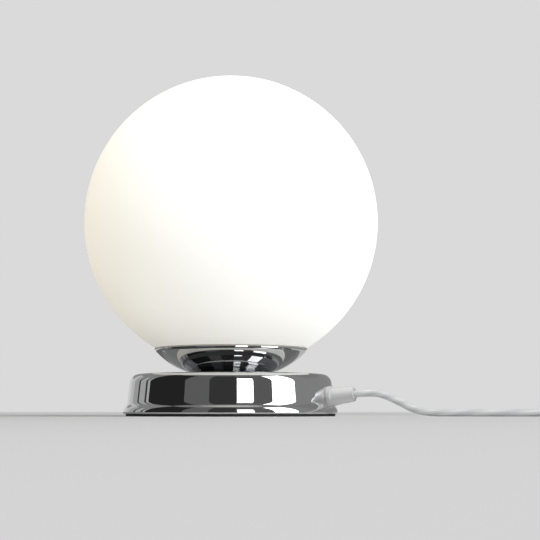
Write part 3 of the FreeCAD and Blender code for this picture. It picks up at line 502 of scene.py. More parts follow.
lip = (LIP_R - LIP_ROUND, HEM_FOOT + HEM_R)
flare_start = on_arc(lip, LIP_ROUND, LIP_LEAN)
flare_centre = on_arc(flare_start, FLARE, LIP_LEAN)
wall_foot = on_arc(flare_centre, FLARE, pi + DRAFT)
wall_head_z = (COVER_TOP - SHOULDER_TOP * (1 - sin(SHOULDER_TURN))
               - SHOULDER * (sin(SHOULDER_TURN) - sin(DRAFT)))
wall_head_r = wall_foot[0] - (wall_head_z - wall_foot[1]) * tan(DRAFT)
shoulder_centre = on_arc((wall_head_r, wall_head_z), SHOULDER, pi + DRAFT)
top_centre = on_arc(shoulder_centre, SHOULDER - SHOULDER_TOP, SHOULDER_TURN)


def bend(centre, radius, start, end):
    """Leg of a traced outline along an arc's far part, by its middle angle to its end."""
    return (on_arc(centre, radius, (start + end) / 2), on_arc(centre, radius, end))


def cover_side(inset):
    """Legs of the cover's side, from the lip's widest point up to its flat top, inset by a thickness."""
    return [
        bend(lip, LIP_ROUND - inset, 0, LIP_LEAN),
        bend(flare_centre, FLARE + inset, pi + LIP_LEAN, pi + DRAFT),
        on_arc(shoulder_centre, SHOULDER - inset, DRAFT),
        bend(shoulder_centre, SHOULDER - inset, DRAFT, SHOULDER_TURN),
        bend(top_centre, SHOULDER_TOP - inset, SHOULDER_TURN, pi / 2)]


def backwards(start, legs):
    """The same outline run the other way: its first corner, then its legs down to start."""
    corners = [start] + [leg[1] if isinstance(leg[0], tuple) else leg for leg in legs]
    turns = [leg[0] if isinstance(leg[0], tuple) else None for leg in legs]
    pairs = zip(reversed(turns), reversed(corners[:-1]))
    return [corners[-1]] + [(via, corner) if via else corner for via, corner in pairs]


hem = (LIP_R - HEM_R, HEM_FOOT + HEM_R)
hem_in = LIP_R - 2 * HEM_R
cover = turned("cover", plating, traced(
    on_arc(hem, HEM_R, -pi / 2), bend(hem, HEM_R, -pi / 2, 0.0), *cover_side(0.0),
    (AXLE_HOLE_R, COVER_TOP), (AXLE_HOLE_R, COVER_TOP - SHEET),
    *backwards(on_arc(lip, LIP_ROUND - SHEET, 0.0), cover_side(SHEET)),
    (hem_in, hem[1]), (hem_in, HEM_FOOT + HEM_R / 2)), steps=PLATED_STEPS)
fitted(cover, "lamp", "plated_sheet", "base_cover")

# --- base pad ---
# Soft black pad stuck under the base plate: die-cut from ribbed rubber sheet, so that the lamp doesn't
# slide or scratch. Its edge shows as a thin black line under the cover's hem.
PAD_R = 0.0704
PAD_T = 0.0015
PAD_EDGE = 0.0003
PAD_GROOVES = 9
PAD_GROOVE_R, PAD_GROOVE_STEP = 0.015, 0.006  # the first groove's radius, and from one to the next
PAD_GROOVE = 0.0009      # width of a groove between ribs
PAD_GROOVE_DEPTH = 0.0003


def clouded(name, values, clouds, colors, grain, roughness, depth=0.0, bumps=None):
    """Finish that clouds blend between two colours, with clouds, grain and bumps as values of noise()."""
    finish = Finish(name, values)
    color = finish.blend(finish.noise(*clouds), *colors)
    finish.surface(color, finish.noise(*grain), roughness, depth, bumps and finish.noise(*bumps))
    return finish


rubber = clouded("base_rubber", {"Specular IOR Level": 0.35}, (90,),
                 ((0.026, 0.026, 0.027), (0.052, 0.052, 0.053)), (2400, 4), (0.62, 0.25), 0.00012)

pad_grooves = []
for number in range(PAD_GROOVES):
    groove = PAD_GROOVE_R + PAD_GROOVE_STEP * number
    pad_grooves += [
        (groove - PAD_GROOVE / 2, 0.0), (groove, PAD_GROOVE_DEPTH), (groove + PAD_GROOVE / 2, 0.0)]
pad = turned("pad", rubber, traced(
    (0.0, PAD_T), (0.0, 0.0), *pad_grooves, (PAD_R - PAD_EDGE, 0.0), (PAD_R, PAD_EDGE), (PAD_R, PAD_T)))
fitted(pad, "lamp", "base_rubber", "base_pad")

# --- base plate ---
# Round steel plate that gives the lamp its weight. It is laser-cut, powder-coated black against rust, and
# countersunk twice for the screws that hold the bracket on its inner face.
plate_paint = clouded("plate_paint", {"Specular IOR Level": 0.4}, (60,),
                      ((0.018, 0.018, 0.019), (0.034, 0.034, 0.035)), (1400, 2), (0.42, 0.18), 0.00008)


def dress(finish, *nodes):
    """Gives CAD nodes a finish."""
    for node in nodes:
        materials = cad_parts[node].data.materials
        materials.clear()
        materials.append(finish.material)


dress(plate_paint, "base_plate")

# --- bracket, tube, nuts and washers ---
# A bent strip bridges the plate and draws the cover down on it. A threaded tube with a nut and a washer
# at each end clamps bracket, cover, cup and clip, and takes the lampholder. All are zinc-plated steel.
TUBE_R, TUBE_BORE_R = 0.005, 0.0036
TUBE_FOOT, TUBE_LEN = 0.0206, 0.018
TUBE_PITCH = 0.001
TUBE_CREST = 0.00042
TUBE_CHAMFER = 0.0005
CREST_STEPS, CREST_SIDES = 32, 8  # along one turn of a thread, and round its crest

zinc = Finish("zinc_steel", {"Metallic": 1.0})
spangle = zinc.noise(500, 4)
scratches = zinc.noise(3000, 2, (1, 0.06, 1))
passivated = zinc.ramp(spangle, (0.3, (0.52, 0.53, 0.55)), (0.52, (0.63, 0.635, 0.64)),
                       (0.74, (0.68, 0.66, 0.6)))
zinc.surface(passivated, scratches, (0.24, 0.16), 0.00002, spangle * scratches)


class Shape(Nodes):
    """A Geometry Nodes tree with named inputs, which ends in one realised mesh with its material."""

    def __init__(self, name, inputs):
        super().__init__(bpy.data.node_groups.new(name, "GeometryNodeTree"))
        self.keys = {}
        for label, kind in {**inputs, "Material": "Material"}.items():
            socket = self.tree.interface.new_socket(label, in_out="INPUT", socket_type="NodeSocket" + kind)
            self.keys[label] = socket.identifier
        self.tree.interface.new_socket("Geometry", in_out="OUTPUT", socket_type="NodeSocketGeometry")
        self.inputs = self.tree.nodes.new("NodeGroupInput").outputs

    def given(self, label):
        return Value(self, self.inputs[label])

    def end(self, geometry):
        real = self.node("GeometryNodeRealizeInstances", {"Geometry": geometry})
        coated = self.node("GeometryNodeSetMaterial", {"Geometry": real, "Material": self.given("Material")})
        self.fill(self.tree.nodes.new("NodeGroupOutput").inputs[0], coated)

    def grow(self, name, finish, values):
        """Plain mesh object of what the tree makes from values for its inputs, in a finish."""
        piece = placed(name, bpy.data.meshes.new(name))
        modifier = piece.modifiers.new(name, "NODES")
        modifier.node_group = self.tree
        for label, value in {**values, "Material": finish.material}.items():
            modifier[self.keys[label]] = value
        graph = bpy.context.evaluated_depsgraph_get()
        mesh = bpy.data.meshes.new_from_object(piece.evaluated_get(graph))
        piece.modifiers.remove(modifier)
        piece.data = mesh
        return piece


# One rounded crest wound round the upright axis from the origin up, to lie on a plain round core.
thread = Shape("thread", {
    "Radius": "Float", "Turns": "Float", "Length": "Float", "Crest": "Float", "Steps": "Int"})
winding = thread.node("GeometryNodeCurveSpiral", {
    "Resolution": thread.given("Steps"), "Rotations": thread.given("Turns"), "Height": thread.given("Length"),
    "Start Radius": thread.given("Radius"), "End Radius": thread.given("Radius")})
crest = thread.node("GeometryNodeCurvePrimitiveCircle", {
    "Resolution": CREST_SIDES, "Radius": thread.given("Crest")})
wound = thread.node("GeometryNodeCurveToMesh", {"Curve": winding, "Profile Curve": crest, "Fill Caps": True})
thread.end(wound)


def crest_line(name, finish, radius, pitch, start, end, crest_r, steps=CREST_STEPS):
    """Crest wound at a radius over a stretch of the upright axis."""
    piece = thread.grow(name, finish, {
        "Radius": radius, "Turns": (end - start) / pitch, "Length": end - start, "Crest": crest_r,
        "Steps": steps})
    piece.data.transform(Matrix.Translation((0, 0, start)))
    return piece


def joined(piece, *others):
    """One object of several, in place of the first."""
    build = bmesh.new()
    build.from_mesh(piece.data)
    for other in others:
        build.from_mesh(other.data)
        bpy.data.objects.remove(other)
    build.to_mesh(piece.data)
    build.free()
    return piece


def threaded(core, finish, outer_r, pitch, start, end, crest_r):
    """Joins a wound crest that reaches outer_r to a core, over a stretch of the upright axis."""
    ridge = crest_line(core.name + "_thread", finish, outer_r - crest_r, pitch, start, end, crest_r)
    return joined(core, ridge)


tube_core_r = TUBE_R - TUBE_PITCH / 3
tube_end_r = tube_core_r - TUBE_CHAMFER / 2
tube_top = TUBE_FOOT + TUBE_LEN
tube = turned("tube", zinc, traced(
    (TUBE_BORE_R, TUBE_FOOT), (tube_end_r, TUBE_FOOT), (tube_core_r, TUBE_FOOT + TUBE_CHAMFER),
    (tube_core_r, tube_top - TUBE_CHAMFER), (tube_end_r, tube_top), (TUBE_BORE_R, tube_top)), steps=64)
threaded(tube, zinc, TUBE_R, TUBE_PITCH, TUBE_FOOT + TUBE_CHAMFER, tube_top - TUBE_CHAMFER, TUBE_CREST)
fitted(tube, "lamp", "zinc_steel", "threaded_tube")
dress(zinc, "plate_bracket", "base_washer", "base_nut", "cup_washer", "cup_nut")

# --- plate screws ---
# Two M4 countersunk steel screws, head down, with a cross recess each. They pass through the plate into
# the bracket's tapped feet.
PLATE_SCREW_Y = 0.031
PLATE_SCREW_HEAD_R, PLATE_SCREW_R = 0.0038, 0.002
PLATE_SCREW_LEN = 0.008
SCREW_CORE, SCREW_TIP = 0.82, 0.6  # the core over the thread, and the tip over the core
SCREW_PITCH, SCREW_CREST = 0.35, 0.13  # over the thread's radius
SCREW_NECK = 0.0002
SCREW_TIP_LEN = 0.0006
CROSS_DEPTH = 0.0016
CROSS_LEN, CROSS_WIDTH = 1.15, 0.26  # over the head's radius


def screw(name, finish, head_r, shank_r, head_z, head_h, top_z, countersunk=False):
    """Screw on the upright axis with its head down, a thread on its shank and a cross recess in its head."""
    core_r = shank_r * SCREW_CORE
    neck_z = head_z + head_h
    thread_top = top_z - SCREW_TIP_LEN
    under_head = (head_r, head_z if countersunk else neck_z)
    core = turned(name, finish, traced(
        (0.0, head_z), (head_r, head_z), under_head, (shank_r, neck_z), (core_r, neck_z + SCREW_NECK),
        (core_r, thread_top), (core_r * SCREW_TIP, top_z), (0.0, top_z)), steps=48)
    carve = bmesh.new()
    for turn in (0.0, pi / 2):
        size = Matrix.Diagonal((head_r * CROSS_LEN, head_r * CROSS_WIDTH, CROSS_DEPTH * 2, 1.0))
        blade = Matrix.Translation((0, 0, head_z)) @ Matrix.Rotation(turn, 4, "Z") @ size
        bmesh.ops.create_cube(carve, size=1.0, matrix=blade)
    cutter = finished(name + "_recess", carve, finish)
    cut = core.modifiers.new("recess", "BOOLEAN")
    cut.object = cutter
    cut.solver = "EXACT"
    cut.use_self = True
    core.data = bpy.data.meshes.new_from_object(core.evaluated_get(bpy.context.evaluated_depsgraph_get()))
    core.modifiers.remove(core.modifiers["recess"])
    bpy.data.objects.remove(cutter)
    return threaded(core, finish, shank_r, shank_r * SCREW_PITCH, neck_z + 2 * SCREW_NECK, thread_top,
                    shank_r * SCREW_CREST)


# Copies of one part in a straight row from the origin.
row_of = Shape("row_of", {"Part": "Object", "Count": "Int", "Step": "Vector"})
line = row_of.node("GeometryNodeMeshLine", {"Count": row_of.given("Count"), "Offset": row_of.given("Step")})
model = row_of.node("GeometryNodeObjectInfo", {"Object": row_of.given("Part")}, "Geometry")
row_of.end(row_of.node("GeometryNodeInstanceOnPoints", {"Points": line, "Instance": model}))


def row(name, finish, part, count, step, start):
    """Row of copies of a part, from a start by a step."""
    piece = row_of.grow(name, finish, {"Part": part, "Count": count, "Step": step})
    piece.data.transform(Matrix.Translation(start))
    return piece


plate_screw = screw("plate_screw", zinc, PLATE_SCREW_HEAD_R, PLATE_SCREW_R, PAD_T,
                    PLATE_SCREW_HEAD_R - PLATE_SCREW_R, PAD_T + PLATE_SCREW_LEN, countersunk=True)
plate_screws = row("plate_screws_cross", zinc, plate_screw, 2, (0, -2 * PLATE_SCREW_Y, 0),
                   (0, PLATE_SCREW_Y, 0))
bpy.data.objects.remove(plate_screw)
fitted(plate_screws, "lamp", "zinc_steel", "plate_screws")

# --- cup ---
# A shallow bowl spun from the same sheet and plated with it. Its rim carries the globe on a gasket, and
# its flat floor is clamped between the cover and the spring clip.
CUP_RIM_R, CUP_RIM_Z = 0.0516, 0.0448
CUP_FOOT_R = 0.025
CUP_BULGE = 0.0023
SIDE_REACH = 0.0005      # how far past the rim the side would run, but for its turned-up edge
CURL_Z = 0.043           # where the edge starts to turn up
CURL_R = 0.0018
CURL_END = radians(-3.0)

cup_chord = Vector((CUP_RIM_R + SIDE_REACH - CUP_FOOT_R, CUP_RIM_Z - COVER_TOP))
cup_bend = cup_chord.length ** 2 / (8 * CUP_BULGE) + CUP_BULGE / 2
cup_across = Vector((cup_chord.y, -cup_chord.x)).normalized()
cup_centre = Vector((CUP_FOOT_R, COVER_TOP)) + cup_chord / 2 - cup_across * (cup_bend - CUP_BULGE)


def cup_side(z, inset):
    """Point of the cup's side at a height, on its outer face or inset by the sheet."""
    return (cup_centre.x + sqrt((cup_bend - inset) ** 2 - (cup_centre.y - z) ** 2), z)


curl_foot = Vector(cup_side(CURL_Z, 0))
curl_centre = curl_foot + (cup_centre - curl_foot).normalized() * CURL_R
curl_from = atan2(curl_foot.y - curl_centre.y, curl_foot.x - curl_centre.x)


def curl(share, inset):
    """Point of the turned-up edge's bend, at a share of it, on its outer face or inset by the sheet."""
    return on_arc(curl_centre, CURL_R - inset, curl_from + (CURL_END - curl_from) * share)


cup_mid_z = (CURL_Z + COVER_TOP) / 2
rim_out = curl(1.0, 0)[0]
cup = turned("cup", plating, traced(
    (AXLE_HOLE_R, COVER_TOP), cup_side(COVER_TOP, 0), (cup_side(cup_mid_z, 0), curl(0.0, 0)),
    (curl(0.5, 0), curl(1.0, 0)), (rim_out, CUP_RIM_Z), (rim_out - SHEET, CUP_RIM_Z), curl(1.0, SHEET),
    (curl(0.5, SHEET), curl(0.0, SHEET)), (cup_side(cup_mid_z, SHEET), cup_side(COVER_TOP + SHEET, SHEET)),
    (AXLE_HOLE_R, COVER_TOP + SHEET)), steps=PLATED_STEPS)
fitted(cup, "lamp", "plated_sheet", "globe_cup")

# --- globe and gasket ---
# Mouth-blown ball of opal glass, acid-etched to a satin white, with a ground hole at the bottom. It
# stands on a thin grey gasket on the cup's rim, and the bulb inside lights it. Its glow is painted darker
# towards the lower left and the underside, and warmer on the left: painted shade of light from the right.
GLOBE_R = 0.1
GLASS = 0.0025
HOLE_R = 0.039
SEAT_PLAY = 0.0003
GASKET_W = 0.0013
GASKET_IN_H = 0.00015
GLOW = 0.62
LIT_MIDDLE = 0.485       # of the light's ramp at the globe's middle, and what a radius across or up adds as painted light from the right and above, or a cloud adds
PAINTED_LIGHT_ACROSS, PAINTED_LIGHT_UP, LIT_CLOUD = 0.25, 0.3, 0.03  # and what a radius across or up, or a cloud, adds

gasket_in_r = CUP_RIM_R - GASKET_W
globe_z = CUP_RIM_Z + GASKET_IN_H + sqrt((GLOBE_R + SEAT_PLAY) ** 2 - gasket_in_r ** 2)

opal = Finish("opal_glass", {"IOR": 1.45, "Specular IOR Level": 0.25, "Emission Strength": GLOW})
across = opal.part_of(opal.place(), "X") / GLOBE_R
above = (opal.part_of(opal.place(), "Z") - globe_z) / GLOBE_R
cloud = opal.noise(14)
# Painted shade: the glow is darker over the underside, down towards the cup.
low = opal.ramp(above + 1.0, (0.1, grey(0.87)), (0.34, grey(1.0)))
# Painted side light: the glow is ramped brighter to the right and upwards and darker to the lower left, as
# light from the right falls on it.
painted_side_light = opal.ramp(LIT_MIDDLE + PAINTED_LIGHT_ACROSS * across + PAINTED_LIGHT_UP * above + LIT_CLOUD * cloud,
                  (0.14, (0.6, 0.59, 0.56)), (0.25, (0.7, 0.69, 0.66)), (0.38, (0.86, 0.86, 0.84)),
                  (0.5, (1.0, 1.0, 0.985)))
# Painted warm shade: the glow turns warmer and yellower towards the left, the shaded side.
painted_warm_shade = opal.ramp(0.5 + 0.5 * across, (0.0, (1.06, 0.97, 0.76)), (0.35, (1.0, 0.99, 0.95)),
                 (0.7, (1.0, 1.0, 0.98)))
etched = opal.blend(cloud, (0.8, 0.79, 0.76), (0.84, 0.83, 0.8))
opal.surface(etched, opal.noise(3200, 2), (0.46, 0.12), 0.00001, opal.noise(2600, 2))
opal.set({"Emission Color": opal.blend(1.0, opal.blend(1.0, painted_side_light, painted_warm_shade, "MULTIPLY"), low, "MULTIPLY")})


def under(radius, sphere_r):
    """Height of the lower half of a ball about the globe's centre, at a radius."""
    return globe_z - sqrt(sphere_r ** 2 - radius ** 2)


glass_r = GLOBE_R - GLASS
globe = turned("globe", opal, traced(
    (HOLE_R, under(HOLE_R, GLOBE_R)), ((GLOBE_R, globe_z), (0.0, globe_z + GLOBE_R)),
    (0.0, globe_z + glass_r), ((glass_r, globe_z), (HOLE_R, under(HOLE_R, glass_r)))))
fitted(globe, "globe", "opal_glass", "glass_globe")

silicone = clouded("gasket_silicone", {"Subsurface Weight": 0.2, "Subsurface Scale": 0.002}, (700,),
                   ((0.46, 0.46, 0.45), (0.58, 0.58, 0.56)), (1800,), (0.35, 0), 0.00003)
dress(silicone, "rim_gasket")

# --- spring clip ---
# Three spring-steel arms, stamped and bent in one piece with their ring. They spring out behind the
# edge of the globe's hole and hold it down until it is pulled off.
spring_steel = clouded("spring_steel", {"Metallic": 1.0}, (70, 2), ((0.5, 0.5, 0.51), (0.6, 0.585, 0.55)),
                       (2200, 3, (0.04, 1, 1)), (0.2, 0.14), 0.00001)
dress(spring_steel, "globe_clip")

# --- lampholder ---
# Small white lampholder, screwed on the threaded tube: a moulded cap and a skirt with grip ribs, the insert
# with its terminals, brass contacts, and an aluminium sleeve with the rolled E14 thread.
HOLDER_R = 0.014
RIBS = 36
RIB_W, RIB_DEPTH = 0.001, 0.0005
RIB_ROUND = 0.0003
RIB_FOOT, RIB_TOP = 0.0515, 0.0755
SLEEVE_FOOT, SLEEVE_TOP = 0.06, 0.0765
SLEEVE_IN_R = 0.0072
SLEEVE_PLAIN = 0.0005    # at each end, without a thread
SLEEVE_CREST = 0.00015
E14_PITCH = 0.00282

holder_plastic = clouded("holder_plastic", {}, (55, 2, (1, 1, 0.3)),
                         ((0.8, 0.8, 0.77), (0.87, 0.87, 0.84)), (2800, 2), (0.34, 0.1), 0.00003)
dress(holder_plastic, "holder_cap", "holder_shell", "holder_insert")

# Copies of one part, evenly round the upright axis, each turned to face outwards.
ring_of = Shape("ring_of", {"Part": "Object", "Count": "Int", "Radius": "Float", "Height": "Float"})
spots = ring_of.node("GeometryNodeMeshCircle", {
    "Vertices": ring_of.given("Count"), "Radius": ring_of.given("Radius")})
index = ring_of.node("GeometryNodeInputIndex")
facing = ring_of.node("ShaderNodeCombineXYZ", {"Z": index * (2 * pi) / ring_of.given("Count")})
one = ring_of.node("GeometryNodeObjectInfo", {"Object": ring_of.given("Part")}, "Geometry")
copies = ring_of.node("GeometryNodeInstanceOnPoints", {"Points": spots, "Instance": one, "Rotation": facing})
raised = ring_of.node("ShaderNodeCombineXYZ", {"Z": ring_of.given("Height")})
ring_of.end(ring_of.node("GeometryNodeTransform", {"Geometry": copies, "Translation": raised}))


def bar(name, finish, size, rounding):
    """Small block with rounded edges, centred on the origin."""
    build = bmesh.new()
    bmesh.ops.create_cube(build, size=1.0, matrix=Matrix.Diagonal((*size, 1.0)))
    bmesh.ops.bevel(build, geom=build.edges[:], offset=rounding, segments=2, profile=0.6, affect="EDGES")
    return finished(name, build, finish, sharp=50)


rib = bar("rib", holder_plastic, (RIB_DEPTH * 2, RIB_W, RIB_TOP - RIB_FOOT), RIB_ROUND)
ribs = ring_of.grow("holder_ribs", holder_plastic, {
    "Part": rib, "Count": RIBS, "Radius": HOLDER_R - RIB_DEPTH / 4, "Height": (RIB_FOOT + RIB_TOP) / 2})
bpy.data.objects.remove(rib)
fitted(ribs, "lamp", "holder_plastic")

drawn = (1500, 3, (1, 1, 0.15))
aluminium = clouded("holder_thread", {"Metallic": 1.0}, drawn, ((0.66, 0.66, 0.67), (0.78, 0.78, 0.79)),
                    drawn, (0.22, 0.12), 0.00001)
dress(aluminium, "holder_sleeve")
sleeve_crest = crest_line("sleeve_thread", aluminium, SLEEVE_IN_R, E14_PITCH, SLEEVE_FOOT + SLEEVE_PLAIN,
                          SLEEVE_TOP - SLEEVE_PLAIN, SLEEVE_CREST, steps=48)
fitted(sleeve_crest, "lamp", "holder_thread")

brass = Finish("contact_brass", {"Metallic": 1.0})
tarnish = brass.noise(320, 4)
tarnished = brass.ramp(tarnish, (0.35, (0.62, 0.46, 0.2)), (0.6, (0.8, 0.64, 0.34)))
brass.surface(tarnished, tarnish, (0.18, 0.2), 0.00001)
dress(brass, "centre_contact", "holder_terminals", "bulb_tip", "switch_contacts")
dress(zinc, "terminal_screws")

# --- bulb ---
# LED lamp with an E14 cap: a white moulded housing, a ring of LED chips on their board under a satin
# diffuser, a rolled aluminium screw shell, and a brass tip in a black glass insulator.
SHELL_R, SHELL_T = 0.00695, 0.00035
SHELL_FOOT, SHELL_TOP = 0.061, 0.078
SHELL_CREST = 0.00055
CREST_SHOWN = 0.75       # share of a crest's width that stands out of the core
SHELL_PLAIN = 0.003      # at the top, without a thread
COLLAR_FOOT, COLLAR_EDGE = 0.0022, 0.0016  # of the collar, down from the top
BOARD_TOP = 0.099
CHIP_TOP = 0.0007        # over the board
CHIP_RING_R = 0.012
CHIPS = 8
PHOSPHOR = (0.0022, 0.0022, 0.00012)
PHOSPHOR_ROUND = 0.00005
DIFFUSER_H = 0.032
BULB_GLOW = 1.6
GLOW_CLOUD = 0.05        # what a cloud adds to a height's glow

shell_core_r = SHELL_R - 2 * SHELL_CREST * CREST_SHOWN
screw_shell = turned("screw_shell", aluminium, traced(
    (shell_core_r - SHELL_T, SHELL_FOOT), (shell_core_r, SHELL_FOOT), (shell_core_r, SHELL_TOP),
    (shell_core_r - SHELL_T, SHELL_TOP)), steps=96)
joined(screw_shell, turned("collar", aluminium, traced(
    (shell_core_r, SHELL_TOP - COLLAR_FOOT), (SHELL_R, SHELL_TOP - COLLAR_EDGE), (SHELL_R, SHELL_TOP),
    (shell_core_r, SHELL_TOP)), steps=96))
threaded(screw_shell, aluminium, SHELL_R, E14_PITCH, SHELL_FOOT + SHELL_CREST, SHELL_TOP - SHELL_PLAIN,
         SHELL_CREST)
fitted(screw_shell, "bulb", "holder_thread", "bulb_screw_shell")

black_glass = clouded("cap_insulator", {"Coat Weight": 0.6, "Coat Roughness": 0.05}, (600,),
                      ((0.012, 0.012, 0.015), (0.035, 0.035, 0.042)), (1500,), (0.15, 0.1))
dress(black_glass, "bulb_insulator")

bulb_plastic = clouded("bulb_plastic", {"Coat Weight": 0.2, "Coat Roughness": 0.15}, (40,),
                       ((0.84, 0.84, 0.82), (0.9, 0.9, 0.88)), (2400, 2), (0.26, 0.08), 0.00002)
dress(bulb_plastic, "bulb_housing")

diffuser = clouded("bulb_diffuser", {"IOR": 1.45, "Emission Strength": BULB_GLOW}, (30,),
                   ((0.86, 0.86, 0.83), (0.91, 0.91, 0.89)), (2000,), (0.5, 0.1))
rise = (diffuser.part_of(diffuser.place(), "Z") - BOARD_TOP) / DIFFUSER_H
diffuser.set({"Emission Color": diffuser.ramp(
    rise + GLOW_CLOUD * diffuser.noise(60), (0.0, (0.62, 0.56, 0.42)), (0.35, (1.0, 0.94, 0.8)),
    (1.0, (1.0, 0.97, 0.88)))})
dress(diffuser, "bulb_diffuser")

board = Finish("board_finish", {})
cells = {"Vector": board.place(), "Scale": 260}
tracks = board.node("ShaderNodeTexVoronoi", cells, "Distance", feature="DISTANCE_TO_EDGE")
board.surface(board.ramp(tracks, (0.02, (0.62, 0.63, 0.62)), (0.07, (0.84, 0.85, 0.84))),
              board.noise(900), (0.32, 0.1), 0.00002, tracks)
dress(board, "led_board")

phosphor = clouded("board_phosphor", {"Emission Color": (1.0, 0.85, 0.45), "Emission Strength": 0.5}, (1800,),
                   ((0.85, 0.66, 0.12), (0.93, 0.78, 0.25)), (3000,), (0.4, 0.1))
dot = bar("phosphor", phosphor, PHOSPHOR, PHOSPHOR_ROUND)
dots = ring_of.grow("led_phosphor", phosphor, {
    "Part": dot, "Count": CHIPS, "Radius": CHIP_RING_R, "Height": BOARD_TOP + CHIP_TOP})
bpy.data.objects.remove(dot)
fitted(dots, "bulb", "board_finish")

# --- strain relief ---
# Clear moulded bush that is screwed into the cover's side with a nut behind the sheet. It has a round
# flange and a tapered nose that keeps the lead from kinking where it leaves.
EXIT_TURN = radians(-20.0)
EXIT_R, EXIT_Z = 0.06938, 0.0126  # where the wall is drilled for it
FLANGE_R, FLANGE_T = 0.00715, 0.0026
FLANGE_BACK, FLANGE_CHAMFER = 0.0004, 0.0002  # its back reaches into the drilled wall's curve
NOSE_ROOT_R, NOSE_TIP_R = 0.0066, 0.00475
NOSE_CHAMFER = 0.0004
NOSE_LEN = 0.0176
BUSH_R, BUSH_CORE_R, BUSH_LEN = 0.005, 0.0046, 0.009  # of the threaded stretch
BUSH_PITCH, BUSH_CREST = 0.0015, 0.0005
BUSH_PLAIN = 0.0016      # behind the flange, without a thread
RELIEF_EDGE = 0.0007
RELIEF_BORE_R = 0.00233
INSIDE_LEN = 0.041       # of the lead, from the nose's tip back into the drum

clear_fitting = clouded("clear_fitting", {
    "Transmission Weight": 0.45, "IOR": 1.46, "Coat Weight": 0.6, "Coat Roughness": 0.03}, (160,),
    ((0.93, 0.935, 0.94), (0.98, 0.98, 0.985)), (1300,), (0.1, 0.08), 0.00003, bumps=(900, 2))

along_exit = Vector((cos(DRAFT), 0, sin(DRAFT)))
exit_frame = (Matrix.Rotation(EXIT_TURN, 4, "Z") @ Matrix.Translation((EXIT_R, 0, EXIT_Z))
              @ along_exit.to_track_quat("Z", "Y").to_matrix().to_4x4())

flange_edge = (FLANGE_R - RELIEF_EDGE, FLANGE_T - RELIEF_EDGE)
nose_edge = (NOSE_TIP_R - RELIEF_EDGE, NOSE_LEN - RELIEF_EDGE)
relief = turned("relief", clear_fitting, traced(
    (RELIEF_BORE_R, -BUSH_LEN), (BUSH_CORE_R, -BUSH_LEN), (BUSH_CORE_R, -FLANGE_BACK),
    (FLANGE_R - FLANGE_CHAMFER, -FLANGE_BACK), (FLANGE_R, 0.0), (FLANGE_R, FLANGE_T - RELIEF_EDGE),
    bend(flange_edge, RELIEF_EDGE, 0, pi / 2), (NOSE_ROOT_R, FLANGE_T),
    (NOSE_ROOT_R - NOSE_CHAMFER, FLANGE_T + NOSE_CHAMFER), (NOSE_TIP_R, NOSE_LEN - RELIEF_EDGE),
    bend(nose_edge, RELIEF_EDGE, 0, pi / 2), (RELIEF_BORE_R, NOSE_LEN)), steps=96, sharp=50)
threaded(relief, clear_fitting, BUSH_R, BUSH_PITCH, BUSH_CREST - BUSH_LEN, -BUSH_PLAIN, BUSH_CREST)
relief.data.transform(exit_frame)
fitted(relief, "lamp", "clear_fitting", "strain_relief")
dress(clear_fitting, "strain_relief_nut")

inside = [exit_frame @ Vector((0, 0, NOSE_LEN - back)) for back in (0.0, INSIDE_LEN / 2, INSIDE_LEN)]
cord_piece("lead_inside", inside, INSIDE_LEN, ["cord_inner_end"])

# --- wires ---
# The two cores go on from the stripped sheath in brown and blue insulation, up the threaded tube, to the
# lampholder's terminals.
for node, dark, light in (("wire_live", (0.17, 0.07, 0.03), (0.3, 0.14, 0.07)),
                          ("wire_neutral", (0.03, 0.1, 0.32), (0.07, 0.21, 0.52))):
    insulation = clouded(node, {"Coat Weight": 0.3, "Coat Roughness": 0.1}, (300,), (dark, light),
                         (1500,), (0.3, 0.1), 0.00002, bumps=(1200,))
    dress(insulation, node)

# --- in-line switch ---
# Two smoky clear mouldings, screwed together from below round the lead and the contacts. The rocker has a
# raised bar and ring, the signs for on and off, and the noses at both ends are ribbed to bend with the lead.
SWITCH = (0.306, -0.001)
SWITCH_HALF = 0.025
SWITCH_TOP = 0.016
NOSE_ROOT, NOSE_END = 0.0054, 0.0036
NOSE = 0.006
NOSE_RINGS = 3
RING_FIRST, RING_SPARE = 0.7, 0.4  # before the first ring and past the last, in steps between rings
RING_BACK, RING_OUT = 0.0004, 0.0003  # into the nose and out of it
RING_HALF, RING_CREST = 0.0005, 0.0003  # half the width of a ring's foot and of its crest
GRIPS = 6
GRIP_PITCH = 0.0016
GRIP = (0.0007, 0.012, 0.0006)
GRIP_ROUND = 0.00025
GRIP_FROM = 0.013        # from the switch's middle to the nearest grip
SWITCH_SCREW = (0.0175, 0.0072)  # from the switch's middle

switch_plastic = clouded("switch_plastic", {"Transmission Weight": 0.45, "IOR": 1.48}, (90,),
                         ((0.5, 0.51, 0.52), (0.66, 0.67, 0.68)), (1600,), (0.14, 0.08), 0.00002,
                         bumps=(1100, 2))
dress(switch_plastic, "switch_base", "switch_cover")


def rows(name, finish, size, count, places):
    """One object of rows of rounded bars, each from a place along X by a step, as places give both."""
    part = bar(name, finish, size, GRIP_ROUND)
    made = [row(f"{name}s_{side}", finish, part, count, (step, 0, 0), start)
            for side, (start, step) in zip((1, -1), places)]
    bpy.data.objects.remove(part)
    return joined(*made)


